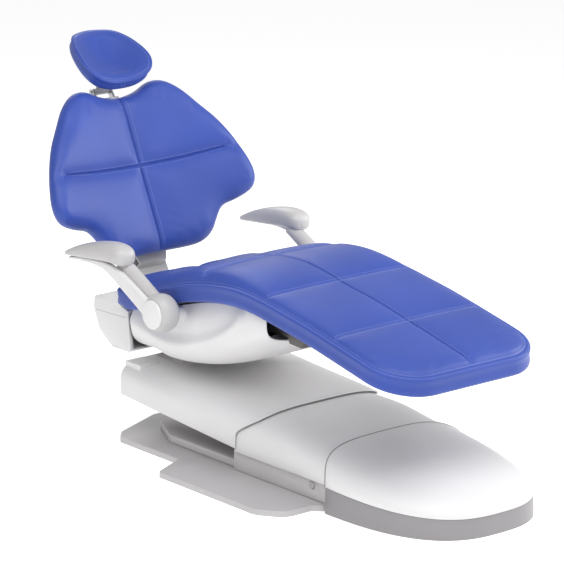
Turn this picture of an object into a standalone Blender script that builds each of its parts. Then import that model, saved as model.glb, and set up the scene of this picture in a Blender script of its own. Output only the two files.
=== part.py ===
"""Dental patient chair on a low lift base, as separate pieces that move on real joints.

+X is the patient's left, -Y is towards the toes, +Z is up, and the floor is z = 0.
Run with: blender --background --python part.py
"""
import math

import bmesh
import bpy
from mathutils import Matrix, Vector

# ---------------------------------------------------------------- driving dimensions (metres)
GAP = 0.0003                                   # clearance between pieces that touch
SIDES = (("right", -1), ("left", 1))

PLATE_THICK = 0.016
CASTING_TOP = 0.071
CASTING_HALF = 0.2285
CASTING_REAR = -0.312
CASTING_FRONT = -0.690
DECK_TOP = 0.038

COVER_WALL = 0.004
SECTION_POWER = 2.7                            # how square the cover sections are
REAR_SECTION_POWER = 5.5
TOE_REAR = -0.706
TOE_LENGTH = 0.394
TOE_HALF = 0.246
TOE_TOP = 0.174
TOE_RAKE = 0.032                               # the toe cover's rear edge leans back at the top
TOE_POWER = 2.7
TRIM_REAR_HEIGHT = 0.070
TRIM_DROP = 0.017
TRIM_WALL = 0.004

MID_FRONT = -0.700
MID_REAR = -0.324
MID_HALF = 0.238
MID_BASE = 0.0725
LIFT_COVER_REAR = 0.172
LIFT_COVER_HALF = 0.243

LIFT_AXIS = Vector((0.0, -0.632, 0.054))       # front pivot of the lift arm
CARRIAGE_AXIS = Vector((0.0, 0.095, 0.140))    # rear pivot, carries the seat
LINK_OFFSET = Vector((0.0, -0.015, 0.037))     # parallel link above the arm
PIN_RADIUS = 0.010
HOLE_CLEARANCE = 0.0005
ARM_PLATE_X = 0.155
ARM_PLATE_THICK = 0.010

CYLINDER_X = 0.070
CYLINDER_BASE = Vector((CYLINDER_X, -0.020, 0.060))
CYLINDER_EYE = Vector((CYLINDER_X, -0.360, 0.100))
RECLINE_BASE = Vector((0.0, 0.030, 0.304))
RECLINE_EYE = Vector((0.0, 0.270, 0.300))

SEAT_AXIS = Vector((0.0, 0.095, 0.241))        # swivel
BOWL_BOTTOM = 0.241                            # rear part, over the lift cover's end
BOWL_LOW_Y = 0.010
BOWL_LOW_Z = 0.228
BOWL_HALF = 0.233
BOWL_FRONT = -0.452
BOWL_POWER = 4.2
BRAKE_AXIS = Vector((0.150, -0.120, 0.2375))
SEAT_HALF = 0.2625
SEAT_TOE = -1.000
SEAT_REAR = 0.165
SEAT_CORNER = 0.130
SEAT_THICK = 0.050
# heights of the seat's top edge along the chair: (y, z)
SEAT_LINE = ((0.30, 0.415), (0.165, 0.420), (0.04, 0.438), (-0.18, 0.500), (-0.36, 0.523),
             (-0.56, 0.500), (-0.80, 0.453), (-1.00, 0.408), (-1.10, 0.386))

# rise of the seat's top above that edge: (y, rise)
CROWN_LINE = ((0.30, 0.022), (0.165, 0.024), (0.10, 0.0275), (-0.05, 0.038), (-0.20, 0.0435),
              (-0.30, 0.039), (-0.39, 0.027), (-0.47, 0.019), (-0.60, 0.018), (-1.00, 0.016),
              (-1.10, 0.016))

HIP_REAR = 0.296
HIP_HALF = 0.231

BACK_AXIS = Vector((0.0, 0.300, 0.345))
BACK_ORIGIN = Vector((0.0, 0.3716, 0.6850))    # where the back's seams cross, front face
BACK_LEAN = math.radians(25.0)
BACK_DISH = 0.50                               # forward curve of the wings, per metre
BACK_THICK = 0.055
BACK_SHELL_THICK = 0.010
BACK_SHELL_GAP = 0.002
# half outline of the back cushion: (x, distance up the back from the seam crossing)
BACK_OUTLINE = ((0.0, 0.202), (0.060, 0.211), (0.112, 0.232), (0.155, 0.228), (0.200, 0.196),
                (0.243, 0.143), (0.287, 0.084), (0.325, 0.006), (0.347, -0.074),
                (0.333, -0.123), (0.285, -0.144), (0.232, -0.156), (0.202, -0.190),
                (0.178, -0.222), (0.128, -0.244), (0.0, -0.244))

HEAD_ORIGIN = Vector((0.0, 0.441, 0.915))      # lower front edge of the headrest
HEAD_LEAN = math.radians(56.0)
HEAD_DISH = 2.0
HEAD_THICK = 0.046
HEAD_OUTLINE = ((0.0, 0.0), (0.052, 0.002), (0.091, 0.016), (0.111, 0.052), (0.109, 0.100),
                (0.091, 0.155), (0.060, 0.192), (0.0, 0.208))
HEAD_AXIS = Vector((0.0, 0.556, 0.906))        # headrest tilts on the upper end of its link
LINK_AXIS = Vector((0.0, 0.560, 0.862))        # link tilts on the glide bar
GLIDE_BAR_HALF = 0.040

HUB_AXIS = Vector((0.0, -0.100, 0.412))        # both armrests turn about this line
HUB_X = 0.300
HUB_RADIUS = 0.052
ARM_PAD_X = 0.305
ARM_PAD_HALF = 0.037

# ---------------------------------------------------------------- materials
FINISHES = {
    "upholstery": ((0.055, 0.110, 0.480, 1.0), 0.45, 0.0),
    "white_plastic": ((0.860, 0.860, 0.860, 1.0), 0.35, 0.0),
    "grey_plastic": ((0.570, 0.560, 0.560, 1.0), 0.40, 0.0),
    "painted_casting": ((0.500, 0.490, 0.490, 1.0), 0.45, 0.2),
    "dark_steel": ((0.130, 0.125, 0.120, 1.0), 0.50, 0.6),
    "steel": ((0.600, 0.600, 0.610, 1.0), 0.30, 1.0),
    "black_plastic": ((0.030, 0.030, 0.032, 1.0), 0.50, 0.0),
}

for stale in list(bpy.data.objects):
    bpy.data.objects.remove(stale, do_unlink=True)

PARTS = bpy.data.collections.new("dental_chair")
CUTTERS = bpy.data.collections.new("cutters")
for folder in (PARTS, CUTTERS):
    bpy.context.scene.collection.children.link(folder)


def make_materials():
    """One Principled material for each finish."""
    made = {}
    for name, (colour, roughness, metallic) in FINISHES.items():
        material = bpy.data.materials.new(name)
        material.use_nodes = True
        shader = material.node_tree.nodes["Principled BSDF"]
        shader.inputs["Base Color"].default_value = colour
        shader.inputs["Roughness"].default_value = roughness
        shader.inputs["Metallic"].default_value = metallic
        made[name] = material
    return made


MATERIALS = make_materials()


# ---------------------------------------------------------------- helpers
def add_object(name, data, finish, smooth=True):
    """Links a named piece with its own copy of its finish."""
    piece = bpy.data.objects.new(name, data)
    PARTS.objects.link(piece)
    material = MATERIALS[finish].copy()
    material.name = name + "_finish"
    data.materials.append(material)
    if smooth and isinstance(data, bpy.types.Mesh):
        data.shade_smooth()
        data.set_sharp_from_angle(angle=math.radians(35))
    return piece


def mesh_from(bm, name):
    """Turns a bmesh into a mesh with its faces pointing out."""
    bmesh.ops.recalc_face_normals(bm, faces=bm.faces)
    mesh = bpy.data.meshes.new(name)
    bm.to_mesh(mesh)
    bm.free()
    return mesh


def set_origin(piece, origin):
    """Moves a piece's origin to a point, such as its joint's axis, and leaves its shape in place."""
    shift = Vector(origin) - piece.location
    piece.data.transform(Matrix.Translation(-(piece.matrix_basis.to_3x3().inverted() @ shift)))
    piece.location = Vector(origin)


def bevel(piece, width, segments=2, angle=40.0):
    """Rounds the edges sharper than an angle."""
    modifier = piece.modifiers.new("round", "BEVEL")
    modifier.width = width
    modifier.segments = segments
    modifier.limit_method = "ANGLE"
    modifier.angle_limit = math.radians(angle)
    return piece


def box_mesh(name, low, high):
    """A box between two corners."""
    low, high = Vector(low), Vector(high)
    bm = bmesh.new()
    bmesh.ops.create_cube(bm, size=1.0)
    bmesh.ops.scale(bm, vec=high - low, verts=bm.verts)
    bmesh.ops.translate(bm, vec=(low + high) / 2, verts=bm.verts)
    return mesh_from(bm, name)


def box(name, low, high, finish, round_by=0.0, segments=1):
    """A box piece, with its edges rounded where asked."""
    piece = add_object(name, box_mesh(name, low, high), finish, smooth=False)
    if round_by:
        bevel(piece, round_by, segments)
    return piece


def rod_mesh(name, start, end, radius, steps=16, end_radius=None):
    """A closed cylinder or cone between two points."""
    start, end = Vector(start), Vector(end)
    turn = Vector((0, 0, 1)).rotation_difference(end - start).to_matrix().to_4x4()
    bm = bmesh.new()
    bmesh.ops.create_cone(bm, cap_ends=True, segments=steps, radius1=radius,
                          radius2=radius if end_radius is None else end_radius,
                          depth=(end - start).length)
    bmesh.ops.transform(bm, matrix=Matrix.Translation((start + end) / 2) @ turn, verts=bm.verts)
    return mesh_from(bm, name)


def rod(name, start, end, radius, finish, steps=16, end_radius=None):
    """A cylinder piece between two points."""
    return add_object(name, rod_mesh(name, start, end, radius, steps, end_radius), finish)


def helper(name, mesh):
    """A hidden solid that cuts or joins a piece."""
    guide = bpy.data.objects.new(name, mesh)
    CUTTERS.objects.link(guide)
    guide.hide_render = True
    guide.display_type = "WIRE"
    return guide


def boolean(piece, mesh, operation="DIFFERENCE"):
    """Cuts a hidden solid away from a piece, or joins it on."""
    guide = helper(piece.name + "_" + operation.lower() + str(len(piece.modifiers)), mesh)
    modifier = piece.modifiers.new(operation.lower(), "BOOLEAN")
    modifier.operation = operation
    modifier.object = guide
    modifier.solver = "EXACT"
    return piece


def rounded_outline(corners, steps=3):
    """Closed outline from (x, y, radius) corners, with an arc at each rounded one."""
    points = []
    for index, (x, y, radius) in enumerate(corners):
        here = Vector((x, y))
        if radius == 0:
            points.append(here)
            continue
        before = (Vector(corners[index - 1][:2]) - here).normalized()
        after = (Vector(corners[(index + 1) % len(corners)][:2]) - here).normalized()
        half = before.angle(after) / 2
        centre = here + (before + after).normalized() * (radius / math.sin(half))
        first = here + before * (radius / math.tan(half)) - centre
        last = here + after * (radius / math.tan(half)) - centre
        sweep = first.angle_signed(last)
        for step in range(steps + 1):
            points.append(centre + Matrix.Rotation(-sweep * step / steps, 2) @ first)
    return points


def outline_mesh(name, points, thickness, matrix):
    """Flat outline, extruded both ways from its plane, as a welded mesh."""
    curve = bpy.data.curves.new(name, "CURVE")
    curve.dimensions = "2D"
    curve.fill_mode = "BOTH"
    curve.extrude = thickness / 2
    spline = curve.splines.new("POLY")
    spline.points.add(len(points) - 1)
    for point, place in zip(spline.points, points):
        point.co = (place[0], place[1], 0.0, 1.0)
    spline.use_cyclic_u = True
    drawn = bpy.data.objects.new(name, curve)
    bpy.context.scene.collection.objects.link(drawn)
    drawn.matrix_world = matrix
    bpy.context.view_layer.update()
    evaluated = drawn.evaluated_get(bpy.context.evaluated_depsgraph_get())
    mesh = bpy.data.meshes.new_from_object(evaluated)
    bpy.data.objects.remove(drawn, do_unlink=True)
    bm = bmesh.new()
    bm.from_mesh(mesh)
    bmesh.ops.remove_doubles(bm, verts=bm.verts, dist=0.00001)
    bmesh.ops.transform(bm, matrix=matrix, verts=bm.verts)
    bpy.data.meshes.remove(mesh)
    return mesh_from(bm, name)


def flat_on_floor(height):
    """Matrix for an outline drawn in X and Y, at a height."""
    return Matrix.Translation((0, 0, height))


def side_on(x):
    """Matrix for an outline drawn in Y and Z, at a distance across the chair."""
    turn = Matrix.Rotation(math.radians(90), 4, "Z") @ Matrix.Rotation(math.radians(90), 4, "X")
    return Matrix.Translation((x, 0, 0)) @ turn


def mirrored(half):
    """Closed outline from the half with x >= 0, first and last points on the middle line."""
    other = [(-x, y, *rest) for x, y, *rest in reversed(half) if x > 0]
    return list(half) + other


def smooth_through(points, per_span):
    """Catmull-Rom points through an open list of 2D points."""
    ends = [2 * Vector(points[0]) - Vector(points[1])]
    ends += [Vector(point) for point in points]
    ends.append(2 * Vector(points[-1]) - Vector(points[-2]))
    made = []
    for a, b, c, d in zip(ends, ends[1:], ends[2:], ends[3:]):
        for step in range(per_span):
            t = step / per_span
            made.append(0.5 * (2 * b + (c - a) * t + (2 * a - 5 * b + 4 * c - d) * t ** 2
                               + (3 * b - a - 3 * c + d) * t ** 3))
    made.append(Vector(points[-1]))
    return made


def line_height(line, y):
    """Height of a smooth line of (y, z) points at one y; the points run towards the toes."""
    for a, b, c, d in zip(line, line[1:], line[2:], line[3:]):
        if b[0] >= y >= c[0]:
            slope_b = (c[1] - a[1]) / (c[0] - a[0])
            slope_c = (d[1] - b[1]) / (d[0] - b[0])
            span = c[0] - b[0]
            t = (y - b[0]) / span
            return ((2 * t ** 3 - 3 * t ** 2 + 1) * b[1] + (t ** 3 - 2 * t ** 2 + t) * span * slope_b
                    + (3 * t ** 2 - 2 * t ** 3) * c[1] + (t ** 3 - t ** 2) * span * slope_c)
    raise ValueError("y is outside the line")


def bridge(bm, rings, closed):
    """Quads between rings of the same number of points."""
    made = [[bm.verts.new(point) for point in ring] for ring in rings]
    count = len(made[0])
    for low, high in zip(made, made[1:]):
        for index in range(count if closed else count - 1):
            after = (index + 1) % count
            bm.faces.new((low[index], low[after], high[after], high[index]))
    return made


def loft(name, rings, finish):
    """Closed solid through closed rings, with flat ends."""
    bm = bmesh.new()
    made = bridge(bm, rings, closed=True)
    bm.faces.new(made[0])
    bm.faces.new(made[-1])
    return add_object(name, mesh_from(bm, name), finish)


def shell(name, rings, finish, wall, close_last=False, close_first=False):
    """Open sheet through open rings, thickened inwards."""
    bm = bmesh.new()
    made = bridge(bm, rings, closed=False)
    if close_last:
        bm.faces.new(made[-1])
    if close_first:
        bm.faces.new(made[0])
    mesh = mesh_from(bm, name)
    piece = add_object(name, mesh, finish)
    centre = sum((v.co for v in mesh.vertices), Vector()) / len(mesh.vertices)
    outward = sum(p.normal.dot(p.center - centre) * p.area for p in mesh.polygons)
    if outward < 0:
        mesh.flip_normals()
    thicken = piece.modifiers.new("wall", "SOLIDIFY")
    thicken.thickness = wall
    thicken.offset = -1.0
    thicken.use_even_offset = True
    return piece


def power_curve(angle, power):
    """Point of a unit superellipse."""
    c, s = math.cos(angle), math.sin(angle)
    exponent = 2.0 / power
    return math.copysign(abs(c) ** exponent, c), math.copysign(abs(s) ** exponent, s)


def arch(y, half, low, top, steps=14, power=SECTION_POWER):
    """Open arch section across the chair, from the right foot over to the left foot."""
    ring = []
    for step in range(steps + 1):
        c, s = power_curve(math.pi * (1 - step / steps), power)
        ring.append(Vector((half * c, y, low + (top - low) * max(s, 0.0))))
    return ring


def leaning_frame(origin, lean, dish):
    """Function that places (across, up, behind) on a dished face that leans back."""
    up = Vector((0, math.sin(lean), math.cos(lean)))
    front = Vector((0, -math.cos(lean), math.sin(lean)))

    def place(across, along, behind):
        return origin + Vector((across, 0, 0)) + up * along + front * (dish * across ** 2 - behind)
    return place


BACK_PLACE = leaning_frame(BACK_ORIGIN, BACK_LEAN, BACK_DISH)
HEAD_PLACE = leaning_frame(HEAD_ORIGIN, HEAD_LEAN, HEAD_DISH)


def pad(name, half_outline, middle, place, front, rear, finish, per_span=2, inset=0.0):
    """Dished pad with a rounded rim: rings shrink from the outline to the middle on both faces."""
    right = [p for p in smooth_through(half_outline, per_span)]
    outline = mirrored([(max(p.x, 0.0) if 0 < i < len(right) - 1 else 0.0, p.y)
                        for i, p in enumerate(right)])
    depth = rear - front
    faces = ((0.3, front), (0.6, front), (0.88, front), (0.965, front + depth * 0.10),
             (1.0, front + depth * 0.34))
    levels = ((1.00, rear - depth * 0.30), (0.985, rear - depth * 0.08), (0.93, rear), (0.6, rear),
              (0.3, rear))
    bm = bmesh.new()

    def ring(scale, behind):
        size = scale - inset
        return [place(x * size, middle + (t - middle) * size, behind) for x, t in outline]
    made = bridge(bm, [ring(*level) for level in faces + levels], closed=True)
    for loop, behind in ((made[0], front), (made[-1], rear)):
        pole = bm.verts.new(place(0.0, middle, behind))
        for a, b in zip(loop, loop[1:] + loop[:1]):
            bm.faces.new((a, b, pole))
    return add_object(name, mesh_from(bm, name), finish)


# ---------------------------------------------------------------- base
def cover_top(y):
    """Height of the lift covers' crown."""
    return 0.167 + 0.045 * (y + 0.70)


def trim_height(y):
    """Height of the grey band round the toe, which falls towards the toe."""
    return TRIM_REAR_HEIGHT - TRIM_DROP * min(1.0, max(0.0, (TOE_REAR - y) / TOE_LENGTH))


def toe_outline(reach=1.0, rear=TOE_REAR, steps=20):
    """Plan outline of the toe, from the right rear corner round the toe to the left."""
    points = []
    for step in range(steps + 1):
        c, s = power_curve(math.pi * (1 - step / steps), TOE_POWER)
        length = TOE_LENGTH * reach + rear - TOE_REAR
        points.append((TOE_HALF * reach * c, rear - length * max(s, 0.0)))
    return points


def build_base_plate():
    """Steel floor plate with its stabiliser wings, a raised deck and a tongue for the pump."""
    half = [(0.0, -1.010, 0), (0.140, -1.010, 0.03), (0.195, -0.900, 0.03), (0.195, -0.693, 0),
            (0.236, -0.690, 0.01), (0.262, -0.668, 0.01), (0.345, -0.668, 0.045),
            (0.392, -0.600, 0.05), (0.392, -0.200, 0.012), (0.286, -0.150, 0.012),
            (0.286, 0.108, 0.012), (0.255, 0.142, 0.012), (0.090, 0.213, 0.01), (0.0, 0.213, 0)]
    outline = rounded_outline(mirrored(half), steps=3)
    mesh = outline_mesh("base_plate", outline, PLATE_THICK, flat_on_floor(PLATE_THICK / 2))
    return bevel(add_object("base_plate", mesh, "painted_casting"), 0.004, segments=1)


def build_casting():
    """Cast trough on the plate whose cheeks hold the lift pivot."""
    low = (-CASTING_HALF, CASTING_FRONT, PLATE_THICK + GAP)
    casting = box("base_casting", low, (CASTING_HALF, CASTING_REAR, CASTING_TOP), "painted_casting")
    wall = 0.012
    boolean(casting, box_mesh("trough", (-CASTING_HALF + wall, CASTING_FRONT + wall, 0.028),
                              (CASTING_HALF - wall, CASTING_REAR + 0.05, CASTING_TOP + 0.02)))
    axis = LIFT_AXIS
    boolean(casting, rod_mesh("pivot_hole", (-0.3, axis.y, axis.z), (0.3, axis.y, axis.z),
                              PIN_RADIUS + HOLE_CLEARANCE, 20))
    deck = [(-0.215, CASTING_REAR + GAP, 0), (0.215, CASTING_REAR + GAP, 0), (0.215, -0.02, 0.03),
            (0.150, 0.110, 0.03), (-0.150, 0.110, 0.03), (-0.215, -0.02, 0.03)]
    middle = (PLATE_THICK + GAP + DECK_TOP) / 2
    mesh = outline_mesh("base_deck", rounded_outline(deck), DECK_TOP - PLATE_THICK - GAP,
                        flat_on_floor(middle))
    bevel(add_object("base_deck", mesh, "painted_casting"), 0.004, segments=1)


def build_toe():
    """Grey trim band and white domed cover over the pump."""
    bm = bmesh.new()
    outer = toe_outline()
    rings = [[Vector((x, y, 0.0)) for x, y in outer],
             [Vector((x, y, trim_height(y))) for x, y in outer]]
    bridge(bm, rings, closed=False)
    trim = add_object("toe_trim", mesh_from(bm, "toe_trim"), "grey_plastic")
    outward = sum(p.normal.dot(p.center - Vector((0, TOE_REAR, 0))) for p in trim.data.polygons)
    if outward < 0:
        trim.data.flip_normals()
    wall = trim.modifiers.new("wall", "SOLIDIFY")
    wall.thickness = TRIM_WALL
    wall.offset = -1.0
    wall.use_even_offset = True

    bm = bmesh.new()
    reaches = (1.0, 0.997, 0.98, 0.95, 0.90, 0.82, 0.70, 0.50, 0.25)
    rings = []
    for reach in reaches:
        lift = (1.0 - reach ** SECTION_POWER) ** (1.0 / SECTION_POWER)
        ring = []
        rear = TOE_REAR + TOE_RAKE * (1.0 - reach ** 6)
        for (x, y), (_, rim_y) in zip(toe_outline(reach, rear=rear), outer):
            low = trim_height(rim_y) + GAP
            ring.append(Vector((x, y, low + (TOE_TOP - low) * lift)))
        rings.append(ring)
    made = bridge(bm, rings, closed=False)
    pole = bm.verts.new((0.0, TOE_REAR + TOE_RAKE, TOE_TOP))
    for a, b in zip(made[-1], made[-1][1:]):
        bm.faces.new((a, b, pole))
    cover = add_object("toe_cover", mesh_from(bm, "toe_cover"), "white_plastic")
    if cover.data.polygons[-1].normal.z < 0:
        cover.data.flip_normals()
    wall = cover.modifiers.new("wall", "SOLIDIFY")
    wall.thickness = 0.003
    wall.offset = -1.0
    wall.use_even_offset = True


def build_pump_bay():
    """Pump, oil reservoir, power supply and valve block under the toe cover."""
    floor = PLATE_THICK + GAP
    pump = rod("pump_motor", (-0.160, -0.840, floor + 0.062), (0.000, -0.840, floor + 0.062), 0.044,
               "dark_steel", 20)
    boolean(pump, box_mesh("foot", (-0.150, -0.875, floor), (-0.020, -0.805, floor + 0.040)), "UNION")
    box("oil_reservoir", (-0.110, -0.985, floor), (0.110, -0.900, 0.105), "black_plastic", 0.008)
    box("valve_block", (0.020, -0.870, floor), (0.060, -0.800, 0.080), "steel", 0.002)
    box("power_supply", (0.075, -0.885, floor), (0.185, -0.780, 0.085), "steel", 0.002)


def build_pivots():
    """Lift pivot pin, its end plugs, and the anchor of the parallel link."""
    axis = LIFT_AXIS
    reach = CASTING_HALF - 0.002
    rod("lift_pivot_pin", (-reach, axis.y, axis.z), (reach, axis.y, axis.z), PIN_RADIUS, "steel")
    for side, sign in SIDES:
        rod("pivot_plug_" + side, (sign * (CASTING_HALF - 0.002 + GAP), axis.y, axis.z),
            (sign * (CASTING_HALF + 0.001), axis.y, axis.z), PIN_RADIUS - 0.0005, "grey_plastic")
    anchor = axis + LINK_OFFSET
    bracket = box("link_anchor", (-0.026, axis.y - 0.022, 0.028 + GAP),
                  (0.026, axis.y + 0.020, 0.034), "painted_casting")
    cheek = [(axis.y - 0.022, 0.030, 0), (axis.y + 0.020, 0.030, 0),
             (anchor.y + 0.012, anchor.z, 0.003), (anchor.y + 0.008, anchor.z + 0.012, 0.005),
             (anchor.y - 0.008, anchor.z + 0.012, 0.005)]
    for side, sign in SIDES:
        boolean(bracket, outline_mesh("cheek_" + side, rounded_outline(cheek, 2), 0.006,
                                      side_on(sign * 0.020)), "UNION")
    for centre, radius in ((axis, PIN_RADIUS + 0.001), (anchor, 0.0065)):
        boolean(bracket, rod_mesh("hole", (-0.05, centre.y, centre.z), (0.05, centre.y, centre.z),
                                  radius, 16))
    rod("link_front_pin", (-0.028, anchor.y, anchor.z), (0.028, anchor.y, anchor.z), 0.006, "steel")


# ---------------------------------------------------------------- lift arm
def build_lift_arm():
    """Two steel side plates joined by cross tubes."""
    front, rear = LIFT_AXIS, CARRIAGE_AXIS
    profile = [(front.y - 0.018, front.z - 0.006, 0.010), (front.y, front.z - 0.020, 0.010),
               (-0.300, 0.072, 0), (rear.y - 0.010, rear.z - 0.020, 0.010),
               (rear.y + 0.020, rear.z - 0.010, 0.012), (rear.y + 0.020, rear.z + 0.016, 0.012),
               (rear.y - 0.030, rear.z + 0.020, 0.010), (-0.400, 0.112, 0),
               (front.y - 0.018, front.z + 0.020, 0.010)]
    outline = rounded_outline(profile, 2)
    mesh = outline_mesh("lift_arm_frame", outline, ARM_PLATE_THICK, side_on(-ARM_PLATE_X))
    frame = add_object("lift_arm_frame", mesh, "painted_casting")
    boolean(frame, outline_mesh("plate", outline, ARM_PLATE_THICK, side_on(ARM_PLATE_X)), "UNION")
    for y, z in ((-0.410, 0.092), (-0.100, 0.112)):
        boolean(frame, rod_mesh("tube", (-ARM_PLATE_X, y, z), (ARM_PLATE_X, y, z), 0.010, 12),
                "UNION")
    for axis in (front, rear):
        boolean(frame, rod_mesh("hole", (-0.3, axis.y, axis.z), (0.3, axis.y, axis.z),
                                PIN_RADIUS + HOLE_CLEARANCE, 20))
    set_origin(frame, front)


def build_lift_covers():
    """White covers of the lift arm, with a slot for the carriage and raised rear caps."""
    rings = [arch(y, MID_HALF, MID_BASE, cover_top(y)) for y in (MID_FRONT, -0.60, -0.47, MID_REAR)]
    set_origin(shell("mid_cover", rings, "white_plastic", COVER_WALL), LIFT_AXIS)

    def lift_ring(y, shrink=0.0, grow=0.0):
        low = 0.083 + 0.069 * (y - MID_REAR)
        along = min(1.0, (y - MID_REAR) / (LIFT_COVER_REAR - MID_REAR))
        power = SECTION_POWER + (REAR_SECTION_POWER - SECTION_POWER) * along
        return arch(y, LIFT_COVER_HALF - shrink + grow, low, cover_top(y) + 0.004 - shrink + grow,
                    power=power)
    rear = LIFT_COVER_REAR
    stations = ((MID_REAR + 0.0015, 0.0), (-0.20, 0.0), (-0.05, 0.0), (0.08, 0.0),
                (rear - 0.016, 0.0), (rear - 0.007, 0.003), (rear, 0.011))
    cover = shell("lift_cover", [lift_ring(y, s) for y, s in stations], "white_plastic",
                  COVER_WALL, close_last=True)
    boolean(cover, box_mesh("slot", (-0.120, 0.040, 0.150), (0.120, 0.163, 0.260)))
    set_origin(cover, LIFT_AXIS)

    core = bmesh.new()
    made = bridge(core, [lift_ring(y, 0.0, 2 * GAP) for y in (-0.05, 0.08, rear - 0.016, rear)],
                  closed=False)
    for ring in (made[0], made[-1]):
        core.faces.new(ring)
    for low, high in zip(made, made[1:]):
        core.faces.new((low[0], high[0], high[-1], low[-1]))
    core_mesh = mesh_from(core, "cover_core")
    for side, sign in SIDES:
        across = sorted((sign * 0.160, sign * 0.224))
        cap = box("rear_cap_" + side, (across[0], 0.095, 0.165), (across[1], 0.162, 0.2080),
                  "white_plastic")
        boolean(cap, core_mesh.copy())
        set_origin(cap, LIFT_AXIS)


def build_level_link():
    """Parallel link that keeps the seat level."""
    front = LIFT_AXIS + LINK_OFFSET
    rear = CARRIAGE_AXIS + LINK_OFFSET
    link = rod("level_link", front, rear, 0.008, "steel", 12)
    for name, end in (("front_eye", front), ("rear_eye", rear)):
        boolean(link, rod_mesh(name, end - Vector((0.010, 0, 0)), end + Vector((0.010, 0, 0)),
                               0.013, 16), "UNION")
    for name, end, hole in (("front_bore", front, 0.0065), ("rear_bore", rear, 0.0085)):
        boolean(link, rod_mesh(name, end - Vector((0.05, 0, 0)), end + Vector((0.05, 0, 0)),
                               hole, 16))
    set_origin(link, front)


def build_cylinder(prefix, base, eye, barrel_length, radius, rod_radius, overlap):
    """Hydraulic cylinder: a barrel with an eye on its base pin, and a rod that slides in it."""
    along = (eye - base).normalized()
    across = Vector((1, 0, 0))
    barrel = rod(prefix + "_barrel", base + along * 0.010, base + along * barrel_length, radius,
                 "dark_steel", 16)
    boolean(barrel, rod_mesh("eye", base - across * 0.012, base + across * 0.012, 0.016, 16), "UNION")
    boolean(barrel, rod_mesh("bore", base - across * 0.05, base + across * 0.05, 0.0065, 16))
    boolean(barrel, rod_mesh("inside", base + along * (barrel_length - overlap - 0.04),
                             base + along * (barrel_length + 0.02), rod_radius + 0.001, 16))
    set_origin(barrel, base)
    sliding = rod(prefix + "_rod", base + along * (barrel_length - overlap), eye, rod_radius,
                  "steel", 16)
    boolean(sliding, rod_mesh("eye", eye - across * 0.010, eye + across * 0.010, rod_radius + 0.005,
                              16), "UNION")
    set_origin(sliding, eye)
    rod(prefix + "_pin", base - across * 0.020, base + across * 0.020, 0.006, "steel", 12)


# ---------------------------------------------------------------- carriage
def build_carriage():
    """Post on the arm's rear pivot, with the swivel bearing on top."""
    axis = CARRIAGE_AXIS
    post = box("carriage_post", (-0.062, axis.y - 0.030, axis.z - 0.022),
               (0.062, axis.y + 0.020, BOWL_BOTTOM + 0.003), "painted_casting")
    boolean(post, rod_mesh("hub", (-0.140, axis.y, axis.z), (0.140, axis.y, axis.z), 0.020, 20),
            "UNION")
    boolean(post, rod_mesh("pin_hole", (-0.3, axis.y, axis.z), (0.3, axis.y, axis.z),
                           PIN_RADIUS + HOLE_CLEARANCE, 20))
    boolean(post, box_mesh("link_gap", (-0.013, axis.y - 0.050, axis.z + 0.0160),
                           (0.013, axis.y + 0.016, axis.z + 0.070)))
    link = axis + LINK_OFFSET
    boolean(post, rod_mesh("link_hole", (-0.07, link.y, link.z), (0.07, link.y, link.z), 0.0065, 16))
    set_origin(post, axis)
    reach = ARM_PLATE_X + 0.010
    rod("carriage_pin", (-reach, axis.y, axis.z), (reach, axis.y, axis.z), PIN_RADIUS, "steel")
    rod("link_rear_pin", (-0.040, link.y, link.z), (0.040, link.y, link.z), 0.006, "steel", 12)
    rod("swivel_bearing", (0, axis.y, BOWL_BOTTOM + 0.003 + GAP), (0, axis.y, 0.262), 0.075,
        "steel", 28)


# ---------------------------------------------------------------- seat
def bowl_bottom(y):
    """Height of the white bowl's keel, lowest a little ahead of the swivel."""
    if y > BOWL_LOW_Y:
        return BOWL_LOW_Z + (BOWL_BOTTOM - BOWL_LOW_Z) * min(1.0, (y - BOWL_LOW_Y) / 0.050)
    return BOWL_LOW_Z + 0.135 * ((BOWL_LOW_Y - y) / 0.43) ** 2


def seat_under(y):
    """Height of the seat cushion's underside."""
    return line_height(SEAT_LINE, y) - SEAT_THICK


def build_bowl():
    """Boat-shaped white cover under the seat, open at the top and at the front."""
    rings = []
    for y in (BOWL_FRONT, -0.40, -0.33, -0.25, -0.17, -0.09, 0.01, 0.06, 0.118):
        top = seat_under(y) - 0.008
        low = bowl_bottom(y)
        ring = []
        for step in range(15):
            c, s = power_curve(math.pi * (1 - step / 14), BOWL_POWER)
            depth = max(s, 0.0)
            slant = 0.0 if y < 0.1 else 0.020 * (1 - depth)
            ring.append(Vector((BOWL_HALF * c, y + slant, top + (low - top) * depth)))
        rings.append(ring)
    bowl = shell("seat_cover", rings, "white_plastic", COVER_WALL)
    boolean(bowl, rod_mesh("neck_hole", (0, SEAT_AXIS.y, 0.2), (0, SEAT_AXIS.y, 0.258), 0.082, 28))
    boolean(bowl, box_mesh("rear_trim", (-0.3, 0.128, 0.2), (0.3, 0.3, 0.5)))
    set_origin(bowl, SEAT_AXIS)


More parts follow.
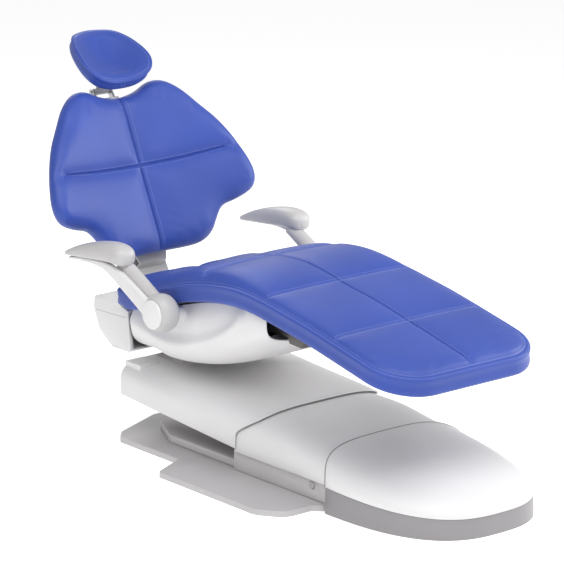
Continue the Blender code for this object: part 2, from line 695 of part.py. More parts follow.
def build_hip_cover():
    """White housing behind the seat, hollow and open underneath and towards the bowl."""
    profile = [(0.130, BOWL_BOTTOM - 0.004, 0.010), (0.215, BOWL_BOTTOM - 0.002, 0.030),
               (0.270, 0.275, 0.030), (HIP_REAR, 0.335, 0.020), (0.290, 0.368, 0.012),
               (0.262, 0.372, 0.012), (0.172, 0.408, 0.010), (0.172, 0.362, 0), (0.140, 0.352, 0)]
    outline = rounded_outline(profile, 3)
    mesh = outline_mesh("hip_cover", outline, 2 * HIP_HALF, side_on(0.0))
    cover = bevel(add_object("hip_cover", mesh, "white_plastic"), 0.014, segments=2, angle=60)
    inner = [(0.120, BOWL_BOTTOM + 0.004, 0), (0.210, BOWL_BOTTOM + 0.006, 0.02),
             (0.262, 0.280, 0.02), (HIP_REAR - 0.008, 0.337, 0.01), (0.256, 0.362, 0.01),
             (0.180, 0.394, 0.01), (0.180, 0.356, 0), (0.148, 0.344, 0), (0.120, 0.336, 0)]
    boolean(cover, outline_mesh("hollow", rounded_outline(inner, 2), 2 * HIP_HALF - 0.024,
                                side_on(0.0)))
    boolean(cover, box_mesh("hinge_slot", (-0.075, 0.225, 0.262), (0.075, 0.330, 0.420)))
    boolean(cover, rod_mesh("neck_hole", (0, SEAT_AXIS.y, 0.2), (0, SEAT_AXIS.y, 0.266), 0.090, 28))
    set_origin(cover, SEAT_AXIS)


def build_seat_structure():
    """Frame on the swivel bearing, seat pan, knee bracket and the back hinge's ears."""
    frame = box("seat_frame", (-0.120, -0.080, 0.273), (0.120, 0.235, 0.284), "dark_steel")
    boolean(frame, rod_mesh("swivel_ring", (0, SEAT_AXIS.y, 0.262 + GAP), (0, SEAT_AXIS.y, 0.280),
                            0.085, 28), "UNION")
    for sign in (-1, 1):
        riser = [(-0.300, 0.352), (-0.150, 0.300), (-0.070, 0.276), (0.090, 0.276),
                 (0.090, seat_under(0.090) - 0.011), (-0.070, seat_under(-0.07) - 0.011),
                 (-0.300, seat_under(-0.300) - 0.010)]
        boolean(frame, outline_mesh("riser", riser, 0.006, side_on(sign * 0.110)), "UNION")
        ear = [(0.215, 0.276), (0.235, 0.276), (0.318, 0.330), (0.318, 0.358), (0.290, 0.360),
               (0.215, 0.300)]
        boolean(frame, outline_mesh("ear", ear, 0.008, side_on(sign * 0.062)), "UNION")
    boolean(frame, rod_mesh("hinge_hole", (-0.2, BACK_AXIS.y, BACK_AXIS.z),
                            (0.2, BACK_AXIS.y, BACK_AXIS.z), PIN_RADIUS + HOLE_CLEARANCE, 20))
    set_origin(frame, SEAT_AXIS)
    rod("back_hinge_pin", (-0.068, BACK_AXIS.y, BACK_AXIS.z), (0.068, BACK_AXIS.y, BACK_AXIS.z),
        PIN_RADIUS, "steel")

    rings = []
    for y in (0.135, 0.04, -0.07, -0.18, -0.27, -0.36, -0.46, -0.56, -0.68, -0.80, -0.925):
        under = seat_under(y) - GAP
        rings.append([Vector((-0.205, y, under - 0.005)), Vector((0.205, y, under - 0.005)),
                      Vector((0.205, y, under)), Vector((-0.205, y, under))])
    set_origin(loft("seat_pan", rings, "black_plastic"), SEAT_AXIS)

    bracket = [(-0.310, 0.398), (-0.458, 0.398), (-0.466, 0.384), (-0.515, 0.381), (-0.526, 0.402),
               (-0.500, seat_under(-0.50) - 0.009), (-0.400, seat_under(-0.40) - 0.009),
               (-0.310, seat_under(-0.31) - 0.009)]
    knee = add_object("knee_bracket", outline_mesh("knee_bracket", bracket, 0.330, side_on(0.0)),
                      "dark_steel")
    boolean(knee, box_mesh("channel", (-0.161, -0.54, 0.403), (0.161, -0.30, 0.520)))
    set_origin(knee, SEAT_AXIS)


def seat_width(y):
    """Half width of the seat cushion, rounded in plan at the toe and slightly at the rear."""
    toe = SEAT_CORNER - (y - SEAT_TOE)
    rear = 0.030 - (SEAT_REAR - y)
    if toe > 0:
        return SEAT_HALF - (SEAT_CORNER - math.sqrt(max(SEAT_CORNER ** 2 - toe ** 2, 0.0)))
    if rear > 0:
        return SEAT_HALF - (0.030 - math.sqrt(max(0.030 ** 2 - rear ** 2, 0.0)))
    return SEAT_HALF


def build_seat_cushion():
    """One cushion from the hips over the knees to the toes."""
    rings = []
    stations = (0.165, 0.158, 0.135, 0.04, -0.07, -0.18, -0.27, -0.36, -0.46, -0.56, -0.68, -0.80,
                -0.895, -0.93, -0.965, -0.99, -1.00)
    for y in stations:
        half = seat_width(y)
        edge = line_height(SEAT_LINE, y)
        end = min(1.0, (y - SEAT_TOE) / 0.03, (SEAT_REAR - y) / 0.03)
        tuck = 0.012 * (1.0 - max(end, 0.0))
        ring = [Vector((-half + 0.012, y, edge - SEAT_THICK + tuck / 2)),
                Vector((half - 0.012, y, edge - SEAT_THICK + tuck / 2)),
                Vector((half, y, edge - SEAT_THICK + 0.010)),
                Vector((half, y, edge - 0.012 - tuck)),
                Vector((half - 0.010, y, edge - tuck))]
        for across in (0.90, 0.70, 0.0, -0.70, -0.90):
            rise = line_height(CROWN_LINE, y) * math.sqrt(1 - abs(across) ** 8)
            ring.append(Vector((half * across, y, edge + rise - tuck)))
        ring += [Vector((-half + 0.010, y, edge - tuck)), Vector((-half, y, edge - 0.012 - tuck)),
                 Vector((-half, y, edge - SEAT_THICK + 0.010))]
        rings.append(ring)
    set_origin(loft("seat_cushion", rings, "upholstery"), SEAT_AXIS)


def build_brake():
    """Lever under the seat that locks the swivel."""
    pivot = BRAKE_AXIS
    reach = Vector((0.012, 0.014, 0.004))
    lever = box("swivel_brake_lever", pivot - reach, pivot + reach, "black_plastic")
    boolean(lever, rod_mesh("grip", pivot, pivot + Vector((0.112, -0.030, 0.0)), 0.0035, 8,
                            end_radius=0.0038), "UNION")
    set_origin(lever, pivot)


# ---------------------------------------------------------------- armrests
def build_armrest(side, sign):
    """Arm with its hub, pad, cap and pin; the arm turns on the hub's axis."""
    hub = Vector((sign * HUB_X, HUB_AXIS.y, HUB_AXIS.z))
    out = Vector((sign, 0, 0))
    # centre line of the bar, with its half height: (y, z, half height)
    line = ((-0.095, 0.415, 0.030), (-0.030, 0.446, 0.026), (0.050, 0.484, 0.022),
            (0.100, 0.501, 0.013), (0.150, 0.5030, 0.007), (0.220, 0.5000, 0.0045),
            (0.275, 0.4930, 0.003))
    rings = []
    for index, (y, z, tall) in enumerate(line):
        before = line[max(index - 1, 0)]
        after = line[min(index + 1, len(line) - 1)]
        run = Vector((0, after[0] - before[0], after[1] - before[1])).normalized()
        rise = Vector((0, -run.z, run.y))
        centre = Vector((hub.x, y, z))
        ring = []
        for step in range(10):
            c, s = power_curve(2 * math.pi * (step + 0.5) / 10, 3.0)
            ring.append(centre + out * (0.029 * c) + rise * (tall * s))
        rings.append(ring)
    arm = loft("armrest_bar_" + side, rings, "grey_plastic")
    boolean(arm, rod_mesh("hub", hub - out * 0.035, hub + out * 0.030, HUB_RADIUS - 0.006, 24,
                          end_radius=HUB_RADIUS - 0.004), "UNION")
    boolean(arm, rod_mesh("bore", hub - out * 0.06, hub + out * 0.020, PIN_RADIUS + 0.0005, 16))
    set_origin(arm, hub)
    cap = rod("hub_cap_" + side, hub + out * (0.030 + GAP), hub + out * 0.036, 0.040,
              "white_plastic", 28, end_radius=0.0385)
    set_origin(cap, hub)

    # pad sections: (y, middle height, half height)
    sections = ((0.038, 0.538, 0.010), (0.048, 0.537, 0.021), (0.085, 0.539, 0.0260),
                (0.135, 0.534, 0.0265), (0.185, 0.5265, 0.0240), (0.232, 0.518, 0.0185),
                (0.272, 0.508, 0.0115), (0.295, 0.500, 0.005))
    rings = []
    for y, z, tall in sections:
        along = (y - sections[0][0]) / (sections[-1][0] - sections[0][0])
        half = ARM_PAD_HALF * (1 - (2 * along - 1) ** 6 * 0.35)
        ring = []
        for step in range(12):
            c, s = power_curve(2 * math.pi * (step + 0.5) / 12, 3.0)
            ring.append(Vector((sign * ARM_PAD_X + half * c, y, z + tall * s)))
        rings.append(ring)
    rest = loft("armrest_pad_" + side, rings, "grey_plastic")
    boolean(rest, grown_bar_mesh(line, hub.x, 0.0295))
    set_origin(rest, hub)

    mount_in = Vector((sign * (BOWL_HALF + 0.001), hub.y, hub.z - 0.013))
    mount = rod("armrest_mount_" + side, mount_in, Vector((sign * 0.2640, hub.y, hub.z - 0.013)),
                0.023, "white_plastic", 24)
    boolean(mount, rod_mesh("pin_seat", hub - out * 0.1, hub, PIN_RADIUS + 0.0003, 16))
    set_origin(mount, SEAT_AXIS)
    pin = rod("armrest_pin_" + side, Vector((sign * 0.236, hub.y, hub.z)), hub + out * 0.018,
              PIN_RADIUS, "steel", 16)
    set_origin(pin, SEAT_AXIS)


def grown_bar_mesh(line, x, half):
    """Bar shape of an armrest, a little larger, to cut its pad to sit on it."""
    bm = bmesh.new()
    rings = []
    for y, z, tall in line[2:] + ((0.33, 0.486, 0.003),):
        tall = tall + GAP
        rings.append([Vector((x - half, y, z - tall - 0.03)), Vector((x + half, y, z - tall - 0.03)),
                      Vector((x + half, y, z + tall)), Vector((x - half, y, z + tall))])
    made = bridge(bm, rings, closed=True)
    bm.faces.new(made[0])
    bm.faces.new(made[-1])
    return mesh_from(bm, "bar_space")


# ---------------------------------------------------------------- backrest
def build_backrest():
    """Cushion on a moulded shell, on a curved steel support that turns on the back hinge."""
    cushion = pad("back_cushion", BACK_OUTLINE, -0.02, BACK_PLACE, 0.0, BACK_THICK, "upholstery")
    set_origin(cushion, BACK_AXIS)
    back = BACK_THICK + BACK_SHELL_GAP
    moulding = pad("back_shell", BACK_OUTLINE, -0.02, BACK_PLACE, back, back + BACK_SHELL_THICK,
                   "white_plastic", inset=0.06)
    set_origin(moulding, BACK_AXIS)

    behind = back + BACK_SHELL_THICK + BACK_SHELL_GAP
    support_line = [(0.312, 0.352), (0.334, 0.368), (0.352, 0.395)]
    for along in (-0.262, -0.16, -0.02):
        point = BACK_PLACE(0.0, along, behind + 0.004)
        support_line.append((point.y, point.z))
    rings = []
    for index, (y, z) in enumerate(support_line):
        before = Vector(support_line[max(index - 1, 0)])
        after = Vector(support_line[min(index + 1, len(support_line) - 1)])
        run = (after - before).normalized()
        half = 0.046 if index < 4 else 0.075
        rise = Vector((0, -run.y, run.x)) * 0.0035
        centre = Vector((0, y, z))
        rings.append([centre + Vector((-half, 0, 0)) + rise, centre + Vector((half, 0, 0)) + rise,
                      centre + Vector((half, 0, 0)) - rise, centre + Vector((-half, 0, 0)) - rise])
    support = loft("back_support", rings, "grey_plastic")
    boolean(support, rod_mesh("knuckle", BACK_AXIS - Vector((0.048, 0, 0)),
                              BACK_AXIS + Vector((0.048, 0, 0)), 0.019, 20), "UNION")
    lever = [(BACK_AXIS.y - 0.014, BACK_AXIS.z), (RECLINE_EYE.y + 0.018, RECLINE_EYE.z + 0.004),
             (RECLINE_EYE.y + 0.030, RECLINE_EYE.z + 0.004), (BACK_AXIS.y + 0.014, BACK_AXIS.z)]
    boolean(support, outline_mesh("lever", lever, 0.020, side_on(0.0)), "UNION")
    boolean(support, rod_mesh("hinge_hole", BACK_AXIS - Vector((0.1, 0, 0)),
                              BACK_AXIS + Vector((0.1, 0, 0)), PIN_RADIUS + HOLE_CLEARANCE, 20))
    set_origin(support, BACK_AXIS)


def back_box_mesh(name, half, low, high, front, rear):
    """Flat bar parallel to the back: half width, range up the back, range behind its face."""
    flat = leaning_frame(BACK_ORIGIN, BACK_LEAN, 0.0)
    bm = bmesh.new()
    rings = [[flat(-half, low, behind), flat(half, low, behind), flat(half, high, behind),
              flat(-half, high, behind)] for behind in (front, rear)]
    made = bridge(bm, rings, closed=True)
    bm.faces.new(made[0])
    bm.faces.new(made[-1])
    return mesh_from(bm, name)


def build_headrest():
    """Glide bar in a channel on the shell, a double-jointed link, and the dished cushion."""
    behind = BACK_THICK + BACK_SHELL_THICK + 2 * BACK_SHELL_GAP
    guide = add_object("glide_channel", back_box_mesh("glide_channel", 0.056, 0.0, 0.165, behind,
                                                      behind + 0.022), "grey_plastic", smooth=False)
    boolean(guide, back_box_mesh("glide_space", GLIDE_BAR_HALF + 0.001, -0.05, 0.2, behind + 0.005,
                                 behind + 0.017))
    set_origin(guide, BACK_AXIS)
    flat = leaning_frame(BACK_ORIGIN, BACK_LEAN, 0.0)
    bar = add_object("glide_bar", back_box_mesh("glide_bar", GLIDE_BAR_HALF, 0.010, 0.215,
                                                behind + 0.006, behind + 0.016), "steel",
                     smooth=False)
    clevis_low = flat(0, 0.195, behind + 0.011)
    for sign in (-1, 1):
        ear = [(clevis_low.y - 0.004, clevis_low.z), (clevis_low.y + 0.010, clevis_low.z - 0.006),
               (LINK_AXIS.y + 0.010, LINK_AXIS.z - 0.004), (LINK_AXIS.y + 0.008, LINK_AXIS.z + 0.009),
               (LINK_AXIS.y - 0.006, LINK_AXIS.z + 0.009)]
        boolean(bar, outline_mesh("ear", ear, 0.006, side_on(sign * 0.030)), "UNION")
    boolean(bar, rod_mesh("hole", LINK_AXIS - Vector((0.1, 0, 0)), LINK_AXIS + Vector((0.1, 0, 0)),
                          0.0055, 12))
    set_origin(bar, LINK_AXIS)
    pin = rod("link_pin", LINK_AXIS - Vector((0.036, 0, 0)), LINK_AXIS + Vector((0.036, 0, 0)),
              0.005, "steel", 12)
    set_origin(pin, LINK_AXIS)

    link = rod("headrest_link", LINK_AXIS - Vector((0.026, 0, 0)), LINK_AXIS + Vector((0.026, 0, 0)),
               0.010, "grey_plastic", 16)
    web = [(LINK_AXIS.y - 0.006, LINK_AXIS.z), (LINK_AXIS.y + 0.006, LINK_AXIS.z),
           (HEAD_AXIS.y + 0.006, HEAD_AXIS.z), (HEAD_AXIS.y - 0.006, HEAD_AXIS.z)]
    boolean(link, outline_mesh("web", web, 0.024, side_on(0.0)), "UNION")
    boolean(link, rod_mesh("top", HEAD_AXIS - Vector((0.014, 0, 0)), HEAD_AXIS + Vector((0.014, 0, 0)),
                           0.010, 16), "UNION")
    for axis in (LINK_AXIS, HEAD_AXIS):
        boolean(link, rod_mesh("hole", axis - Vector((0.1, 0, 0)), axis + Vector((0.1, 0, 0)),
                               0.0055, 12))
    set_origin(link, LINK_AXIS)

    cushion = pad("headrest_cushion", HEAD_OUTLINE, 0.100, HEAD_PLACE, 0.0, HEAD_THICK,
                  "upholstery")
    set_origin(cushion, HEAD_AXIS)
    flat_head = leaning_frame(HEAD_ORIGIN, HEAD_LEAN, 0.0)
    bm = bmesh.new()
    rings = [[flat_head(-0.050, 0.045, d), flat_head(0.050, 0.045, d), flat_head(0.050, 0.150, d),
              flat_head(-0.050, 0.150, d)] for d in (HEAD_THICK + GAP, HEAD_THICK + 0.006)]
    made = bridge(bm, rings, closed=True)
    bm.faces.new(made[0])
    bm.faces.new(made[-1])
    plate = add_object("headrest_plate", mesh_from(bm, "headrest_plate"), "grey_plastic",
                       smooth=False)
    top = flat_head(0, 0.075, HEAD_THICK + 0.004)
    low = flat_head(0, 0.120, HEAD_THICK + 0.004)
    for sign in (-1, 1):
        ear = [(top.y, top.z), (low.y, low.z), (HEAD_AXIS.y + 0.009, HEAD_AXIS.z - 0.006),
               (HEAD_AXIS.y - 0.006, HEAD_AXIS.z - 0.009)]
        boolean(plate, outline_mesh("ear", ear, 0.006, side_on(sign * 0.0185)), "UNION")
    boolean(plate, rod_mesh("hole", HEAD_AXIS - Vector((0.1, 0, 0)), HEAD_AXIS + Vector((0.1, 0, 0)),
                            0.0055, 12))
    set_origin(plate, HEAD_AXIS)
    pin = rod("head_pin", HEAD_AXIS - Vector((0.024, 0, 0)), HEAD_AXIS + Vector((0.024, 0, 0)),
              0.005, "steel", 12)
    set_origin(pin, HEAD_AXIS)


def build_release():
    """Push button beside the glide channel that frees the headrest bar."""
    flat = leaning_frame(BACK_ORIGIN, BACK_LEAN, 0.0)
    behind = BACK_THICK + BACK_SHELL_THICK + 2 * BACK_SHELL_GAP + 0.011
    start = flat(0.056 + GAP + 0.006, 0.120, behind)
    button = rod("headrest_release", start, flat(0.056 + 0.018, 0.120, behind), 0.009,
                 "black_plastic", 16)
    set_origin(button, start)


build_base_plate()
build_casting()
build_toe()
build_pump_bay()
build_pivots()
build_lift_arm()
build_lift_covers()
build_level_link()
build_cylinder("lift_cylinder", CYLINDER_BASE, CYLINDER_EYE, 0.230, 0.020, 0.009, 0.110)
build_carriage()
build_bowl()
build_hip_cover()
build_seat_structure()
build_seat_cushion()
build_brake()
build_cylinder("recline_cylinder", RECLINE_BASE, RECLINE_EYE, 0.150, 0.012, 0.006, 0.060)
for side_name, side_sign in SIDES:
    build_armrest(side_name, side_sign)
build_backrest()
build_headrest()
build_release()
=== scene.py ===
"""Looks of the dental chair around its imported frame: upholstery, mouldings, studio and camera."""
import math

import bmesh
import bpy
import numpy as np
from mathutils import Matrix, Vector


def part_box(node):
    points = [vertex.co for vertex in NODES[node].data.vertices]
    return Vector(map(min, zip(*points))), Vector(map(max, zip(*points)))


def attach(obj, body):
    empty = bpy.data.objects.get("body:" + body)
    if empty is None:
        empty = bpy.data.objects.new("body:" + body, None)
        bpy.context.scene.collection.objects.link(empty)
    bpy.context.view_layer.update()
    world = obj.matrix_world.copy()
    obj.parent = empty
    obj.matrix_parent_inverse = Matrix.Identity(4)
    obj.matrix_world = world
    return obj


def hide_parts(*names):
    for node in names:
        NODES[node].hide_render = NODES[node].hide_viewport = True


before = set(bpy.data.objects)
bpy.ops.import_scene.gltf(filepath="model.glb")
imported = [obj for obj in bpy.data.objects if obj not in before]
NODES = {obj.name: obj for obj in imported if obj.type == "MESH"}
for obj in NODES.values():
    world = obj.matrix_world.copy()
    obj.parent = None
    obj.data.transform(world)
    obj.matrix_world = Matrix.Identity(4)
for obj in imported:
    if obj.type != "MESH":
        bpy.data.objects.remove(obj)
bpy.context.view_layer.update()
MM = 0.001
SIDES = (("right", -1.0), ("left", 1.0))
UP, FORWARD = (0.0, 0.0, 1.0), (0.0, -1.0, 0.0)
RIM_ANGLE = math.radians(50)          # rims sharper than this are softened
# spacing of the mesh beside a seam, from the seam outward, in metres
NEAR_SEAM = (0.0, 0.0010, 0.0024, 0.0045, 0.0075, 0.0115)


# -------------------- materials
def start_material(name, colour, rough, metallic=0.0):
    made = bpy.data.materials.new(name)
    made.use_nodes = True
    tree = made.node_tree
    shader = tree.nodes["Principled BSDF"]
    shader.inputs["Base Color"].default_value = (*colour, 1.0)
    shader.inputs["Roughness"].default_value = rough
    shader.inputs["Metallic"].default_value = metallic
    place = tree.nodes.new("ShaderNodeTexCoord").outputs["Object"]
    return made, tree, shader, place


def texture(tree, kind, place, scale, **values):
    node = tree.nodes.new(kind)
    tree.links.new(place, node.inputs["Vector"])
    node.inputs["Scale"].default_value = scale
    for key, value in values.items():
        node.inputs[key].default_value = value
    return node


def spread(tree, value, low, high, start=0.0, end=1.0):
    """Maps a 0..1 texture onto low..high."""
    node = tree.nodes.new("ShaderNodeMapRange")
    tree.links.new(value, node.inputs["Value"])
    for key, number in (("From Min", start), ("From Max", end), ("To Min", low), ("To Max", high)):
        node.inputs[key].default_value = number
    return node.outputs["Result"]


def tint(tree, factor, dark, light):
    """Colour between two by a factor."""
    node = tree.nodes.new("ShaderNodeMix")
    node.data_type = "RGBA"
    tree.links.new(factor, node.inputs[0])
    node.inputs[6].default_value = (*dark, 1.0)
    node.inputs[7].default_value = (*light, 1.0)
    return node.outputs[2]


def bump(tree, shader, height, strength, distance, before=None):
    """Relief from a height, laid over an earlier relief if one is given."""
    node = tree.nodes.new("ShaderNodeBump")
    node.inputs["Strength"].default_value = strength
    node.inputs["Distance"].default_value = distance
    tree.links.new(height, node.inputs["Height"])
    if before is not None:
        tree.links.new(before, node.inputs["Normal"])
    tree.links.new(node.outputs["Normal"], shader.inputs["Normal"])
    return node.outputs["Normal"]


def scaled(colour, factor):
    return tuple(min(1.0, c * factor) for c in colour)


def vinyl(name, colour, grain=1150.0):
    """Coated fabric: a fine pebbled grain over a broad, faint unevenness."""
    made, tree, shader, place = start_material(name, colour, 0.42)
    broad = texture(tree, "ShaderNodeTexNoise", place, 5.0, Detail=3.0)
    cells = texture(tree, "ShaderNodeTexVoronoi", place, grain, Randomness=0.9)
    fine = texture(tree, "ShaderNodeTexNoise", place, 420.0, Detail=4.0)
    colours = tint(tree, spread(tree, broad.outputs["Fac"], 0.0, 1.0, 0.3, 0.7),
                   scaled(colour, 0.93), scaled(colour, 1.06))
    shade = tree.nodes.new("ShaderNodeMix")
    shade.data_type = "RGBA"
    shade.blend_type = "MULTIPLY"
    shade.inputs[0].default_value = 1.0
    tree.links.new(colours, shade.inputs[6])
    grey = tint(tree, spread(tree, cells.outputs["Distance"], 0.0, 1.0, 0.25, 0.75),
                (1.0, 1.0, 1.0), (0.86, 0.87, 0.90))
    tree.links.new(grey, shade.inputs[7])
    tree.links.new(shade.outputs[2], shader.inputs["Base Color"])
    tree.links.new(spread(tree, fine.outputs["Fac"], 0.36, 0.50, 0.3, 0.7),
                   shader.inputs["Roughness"])
    shader.inputs["Sheen Weight"].default_value = 0.04
    shader.inputs["Sheen Roughness"].default_value = 0.5
    shader.inputs["Specular IOR Level"].default_value = 0.42
    first = bump(tree, shader, fine.outputs["Fac"], 0.18, 0.0008)
    bump(tree, shader, cells.outputs["Distance"], 0.30, 0.0005, first)
    return made


def moulding(name, colour, rough, grain, strength, metallic=0.0, spots=0.02):
    """Moulded or painted surface: fine grain, faint unevenness of colour and gloss."""
    made, tree, shader, place = start_material(name, colour, rough, metallic)
    broad = texture(tree, "ShaderNodeTexNoise", place, 4.0, Detail=4.0)
    fine = texture(tree, "ShaderNodeTexNoise", place, grain, Detail=3.0)
    tree.links.new(tint(tree, spread(tree, broad.outputs["Fac"], 0.0, 1.0, 0.3, 0.7),
                        scaled(colour, 1.0 - spots), scaled(colour, 1.0 + spots)),
                   shader.inputs["Base Color"])
    tree.links.new(spread(tree, fine.outputs["Fac"], rough * 0.85, rough * 1.18, 0.3, 0.7),
                   shader.inputs["Roughness"])
    bump(tree, shader, fine.outputs["Fac"], strength, 0.0004)
    return made


def ground_steel(name, colour, rough):
    """Bare steel with fine turning marks."""
    made, tree, shader, place = start_material(name, colour, rough, 1.0)
    stretch = tree.nodes.new("ShaderNodeMapping")
    stretch.inputs["Scale"].default_value = (12.0, 1.0, 1.0)
    tree.links.new(place, stretch.inputs["Vector"])
    marks = texture(tree, "ShaderNodeTexNoise", stretch.outputs["Vector"], 160.0, Detail=3.0)
    tree.links.new(tint(tree, marks.outputs["Fac"], scaled(colour, 0.9), scaled(colour, 1.05)),
                   shader.inputs["Base Color"])
    tree.links.new(spread(tree, marks.outputs["Fac"], rough * 0.8, rough * 1.3),
                   shader.inputs["Roughness"])
    bump(tree, shader, marks.outputs["Fac"], 0.15, 0.0003)
    return made


BLUE = (0.033, 0.074, 0.375)
VINYL = vinyl("upholstery_vinyl", BLUE)
THREAD = vinyl("upholstery_thread", (0.230, 0.310, 0.700), grain=2400.0)
PIPING = vinyl("upholstery_piping", scaled(BLUE, 1.08), grain=1500.0)
WHITE = moulding("white_moulding", (0.750, 0.742, 0.745), 0.40, 900.0, 0.06)
GREY = moulding("grey_moulding", (0.510, 0.500, 0.500), 0.38, 1100.0, 0.14)
GREY_LIGHT = moulding("light_grey_moulding", (0.720, 0.710, 0.713), 0.38, 1100.0, 0.12)
TRIM = moulding("trim_moulding", (0.275, 0.263, 0.272), 0.42, 1100.0, 0.16)
CASTING = moulding("painted_casting_coat", (0.620, 0.600, 0.608), 0.46, 620.0, 0.30, spots=0.04)
PLATE = moulding("painted_plate_coat", (0.500, 0.485, 0.490), 0.46, 620.0, 0.30, spots=0.04)
DARK = moulding("dark_steel_paint", (0.130, 0.122, 0.112), 0.52, 520.0, 0.55, 0.3, spots=0.12)
BLACK = moulding("black_moulding", (0.020, 0.020, 0.022), 0.50, 900.0, 0.20, spots=0.15)
STEEL = ground_steel("ground_steel", (0.560, 0.560, 0.570), 0.28)
SLOT_LOOKS = {"upholstery": VINYL, "white_plastic": WHITE, "grey_plastic": GREY,
              "painted_casting": CASTING, "dark_steel": DARK, "steel": STEEL,
              "black_plastic": BLACK}


# -------------------- making pieces
def piece(name, points, faces, look, body, slot, *nodes):
    """A mesh in the row frame that rides on a body and stands for CAD nodes."""
    mesh = bpy.data.meshes.new(name)
    mesh.from_pydata([tuple(p) for p in points], [], [tuple(int(i) for i in f) for f in faces])
    mesh.validate()
    mesh.materials.append(look)
    mesh.shade_smooth()
    made = bpy.data.objects.new(name, mesh)
    bpy.context.scene.collection.objects.link(made)
    settle(made, body, slot, *nodes)
    return made


def settle(made, body, slot, *nodes):
    """Attaches a piece to its body and hides the CAD nodes it stands for; the material slot is not
    used.
    """
    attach(made, body)
    if nodes:
        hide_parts(*nodes)


def tidy_normals(made, angle=None, weld=1e-6):
    """Welds, turns the faces outward and keeps sharp what is sharper than an angle."""
    bm = bmesh.new()
    bm.from_mesh(made.data)
    bmesh.ops.remove_doubles(bm, verts=bm.verts, dist=weld)
    bmesh.ops.recalc_face_normals(bm, faces=bm.faces)
    bm.to_mesh(made.data)
    bm.free()
    made.data.shade_smooth()
    if angle is not None:
        made.data.set_sharp_from_angle(angle=math.radians(angle))


def modifier(made, kind, **values):
    added = made.modifiers.new(kind.lower(), kind)
    for key, value in values.items():
        setattr(added, key, value)


def grid_faces(rows, columns, closed=False, start=0):
    """Quads of a grid of points stored row by row."""
    faces = []
    for row in range(rows - 1):
        for column in range(columns if closed else columns - 1):
            after = (column + 1) % columns
            a, b = start + row * columns, start + (row + 1) * columns
            faces.append((a + column, a + after, b + after, b + column))
    return faces


def capped(rows):
    """Points and faces of a row of closed rings, the first and the last filled in."""
    grid = np.array(rows)
    points = grid.reshape(-1, 3)
    count = grid.shape[1]
    faces = grid_faces(len(grid), count, closed=True)
    faces.append(tuple(range(count)))
    faces.append(tuple(len(points) - 1 - k for k in range(count)))
    return points, faces


def smooth_step(value, low, high):
    t = np.clip((np.asarray(value, float) - low) / (high - low), 0.0, 1.0)
    return t * t * (3.0 - 2.0 * t)


def along_line(line, at):
    """Smooth height along a line of (position, height) pairs listed in falling position."""
    xs = np.array([p[0] for p in line][::-1])
    ys = np.array([p[1] for p in line][::-1])
    slope = np.gradient(ys, xs)
    at = np.clip(at, xs[0], xs[-1])
    k = np.clip(np.searchsorted(xs, at, "right") - 1, 0, len(xs) - 2)
    h = xs[k + 1] - xs[k]
    t = (at - xs[k]) / h
    return ((2 * t ** 3 - 3 * t ** 2 + 1) * ys[k] + (t ** 3 - 2 * t ** 2 + t) * h * slope[k]
            + (3 * t ** 2 - 2 * t ** 3) * ys[k + 1] + (t ** 3 - t ** 2) * h * slope[k + 1])


def catmull(points, per_span):
    """Smooth points through a list of points."""
    pts = np.array(points, float)
    ends = np.vstack([2 * pts[0] - pts[1], pts, 2 * pts[-1] - pts[-2]])
    made = []
    for a, b, c, d in zip(ends, ends[1:], ends[2:], ends[3:]):
        for t in np.arange(per_span) / per_span:
            made.append(0.5 * (2 * b + (c - a) * t + (2 * a - 5 * b + 4 * c - d) * t ** 2
                               + (3 * b - a - 3 * c + d) * t ** 3))
    made.append(pts[-1])
    return np.array(made)


def resample(path, positions):
    """Points of a polyline at given lengths along it."""
    steps = np.r_[0.0, np.cumsum(np.linalg.norm(np.diff(path, axis=0), axis=1))]
    return np.stack([np.interp(positions, steps, path[:, k]) for k in range(path.shape[1])], 1)


def unit(vectors):
    return vectors / np.linalg.norm(vectors, axis=1)[:, None]


def path_length(path):
    return float(np.linalg.norm(np.diff(path, axis=0), axis=1).sum())


def stations(length, step, creases):
    """Positions from 0 to length, close together near the creases."""
    fixed = {0.0, length}
    for crease in creases:
        for offset in NEAR_SEAM:
            for at in (crease - offset, crease + offset):
                if 0.0 <= at <= length:
                    fixed.add(at)
    fixed = sorted(fixed)
    made = []
    for a, b in zip(fixed, fixed[1:]):
        if b - a < 1e-6:
            continue
        count = max(1, round((b - a) / step))
        made += [a + (b - a) * k / count for k in range(count)]
    return np.array(made + [length])


# -------------------- upholstery
CLOTH_FRAMES = 20


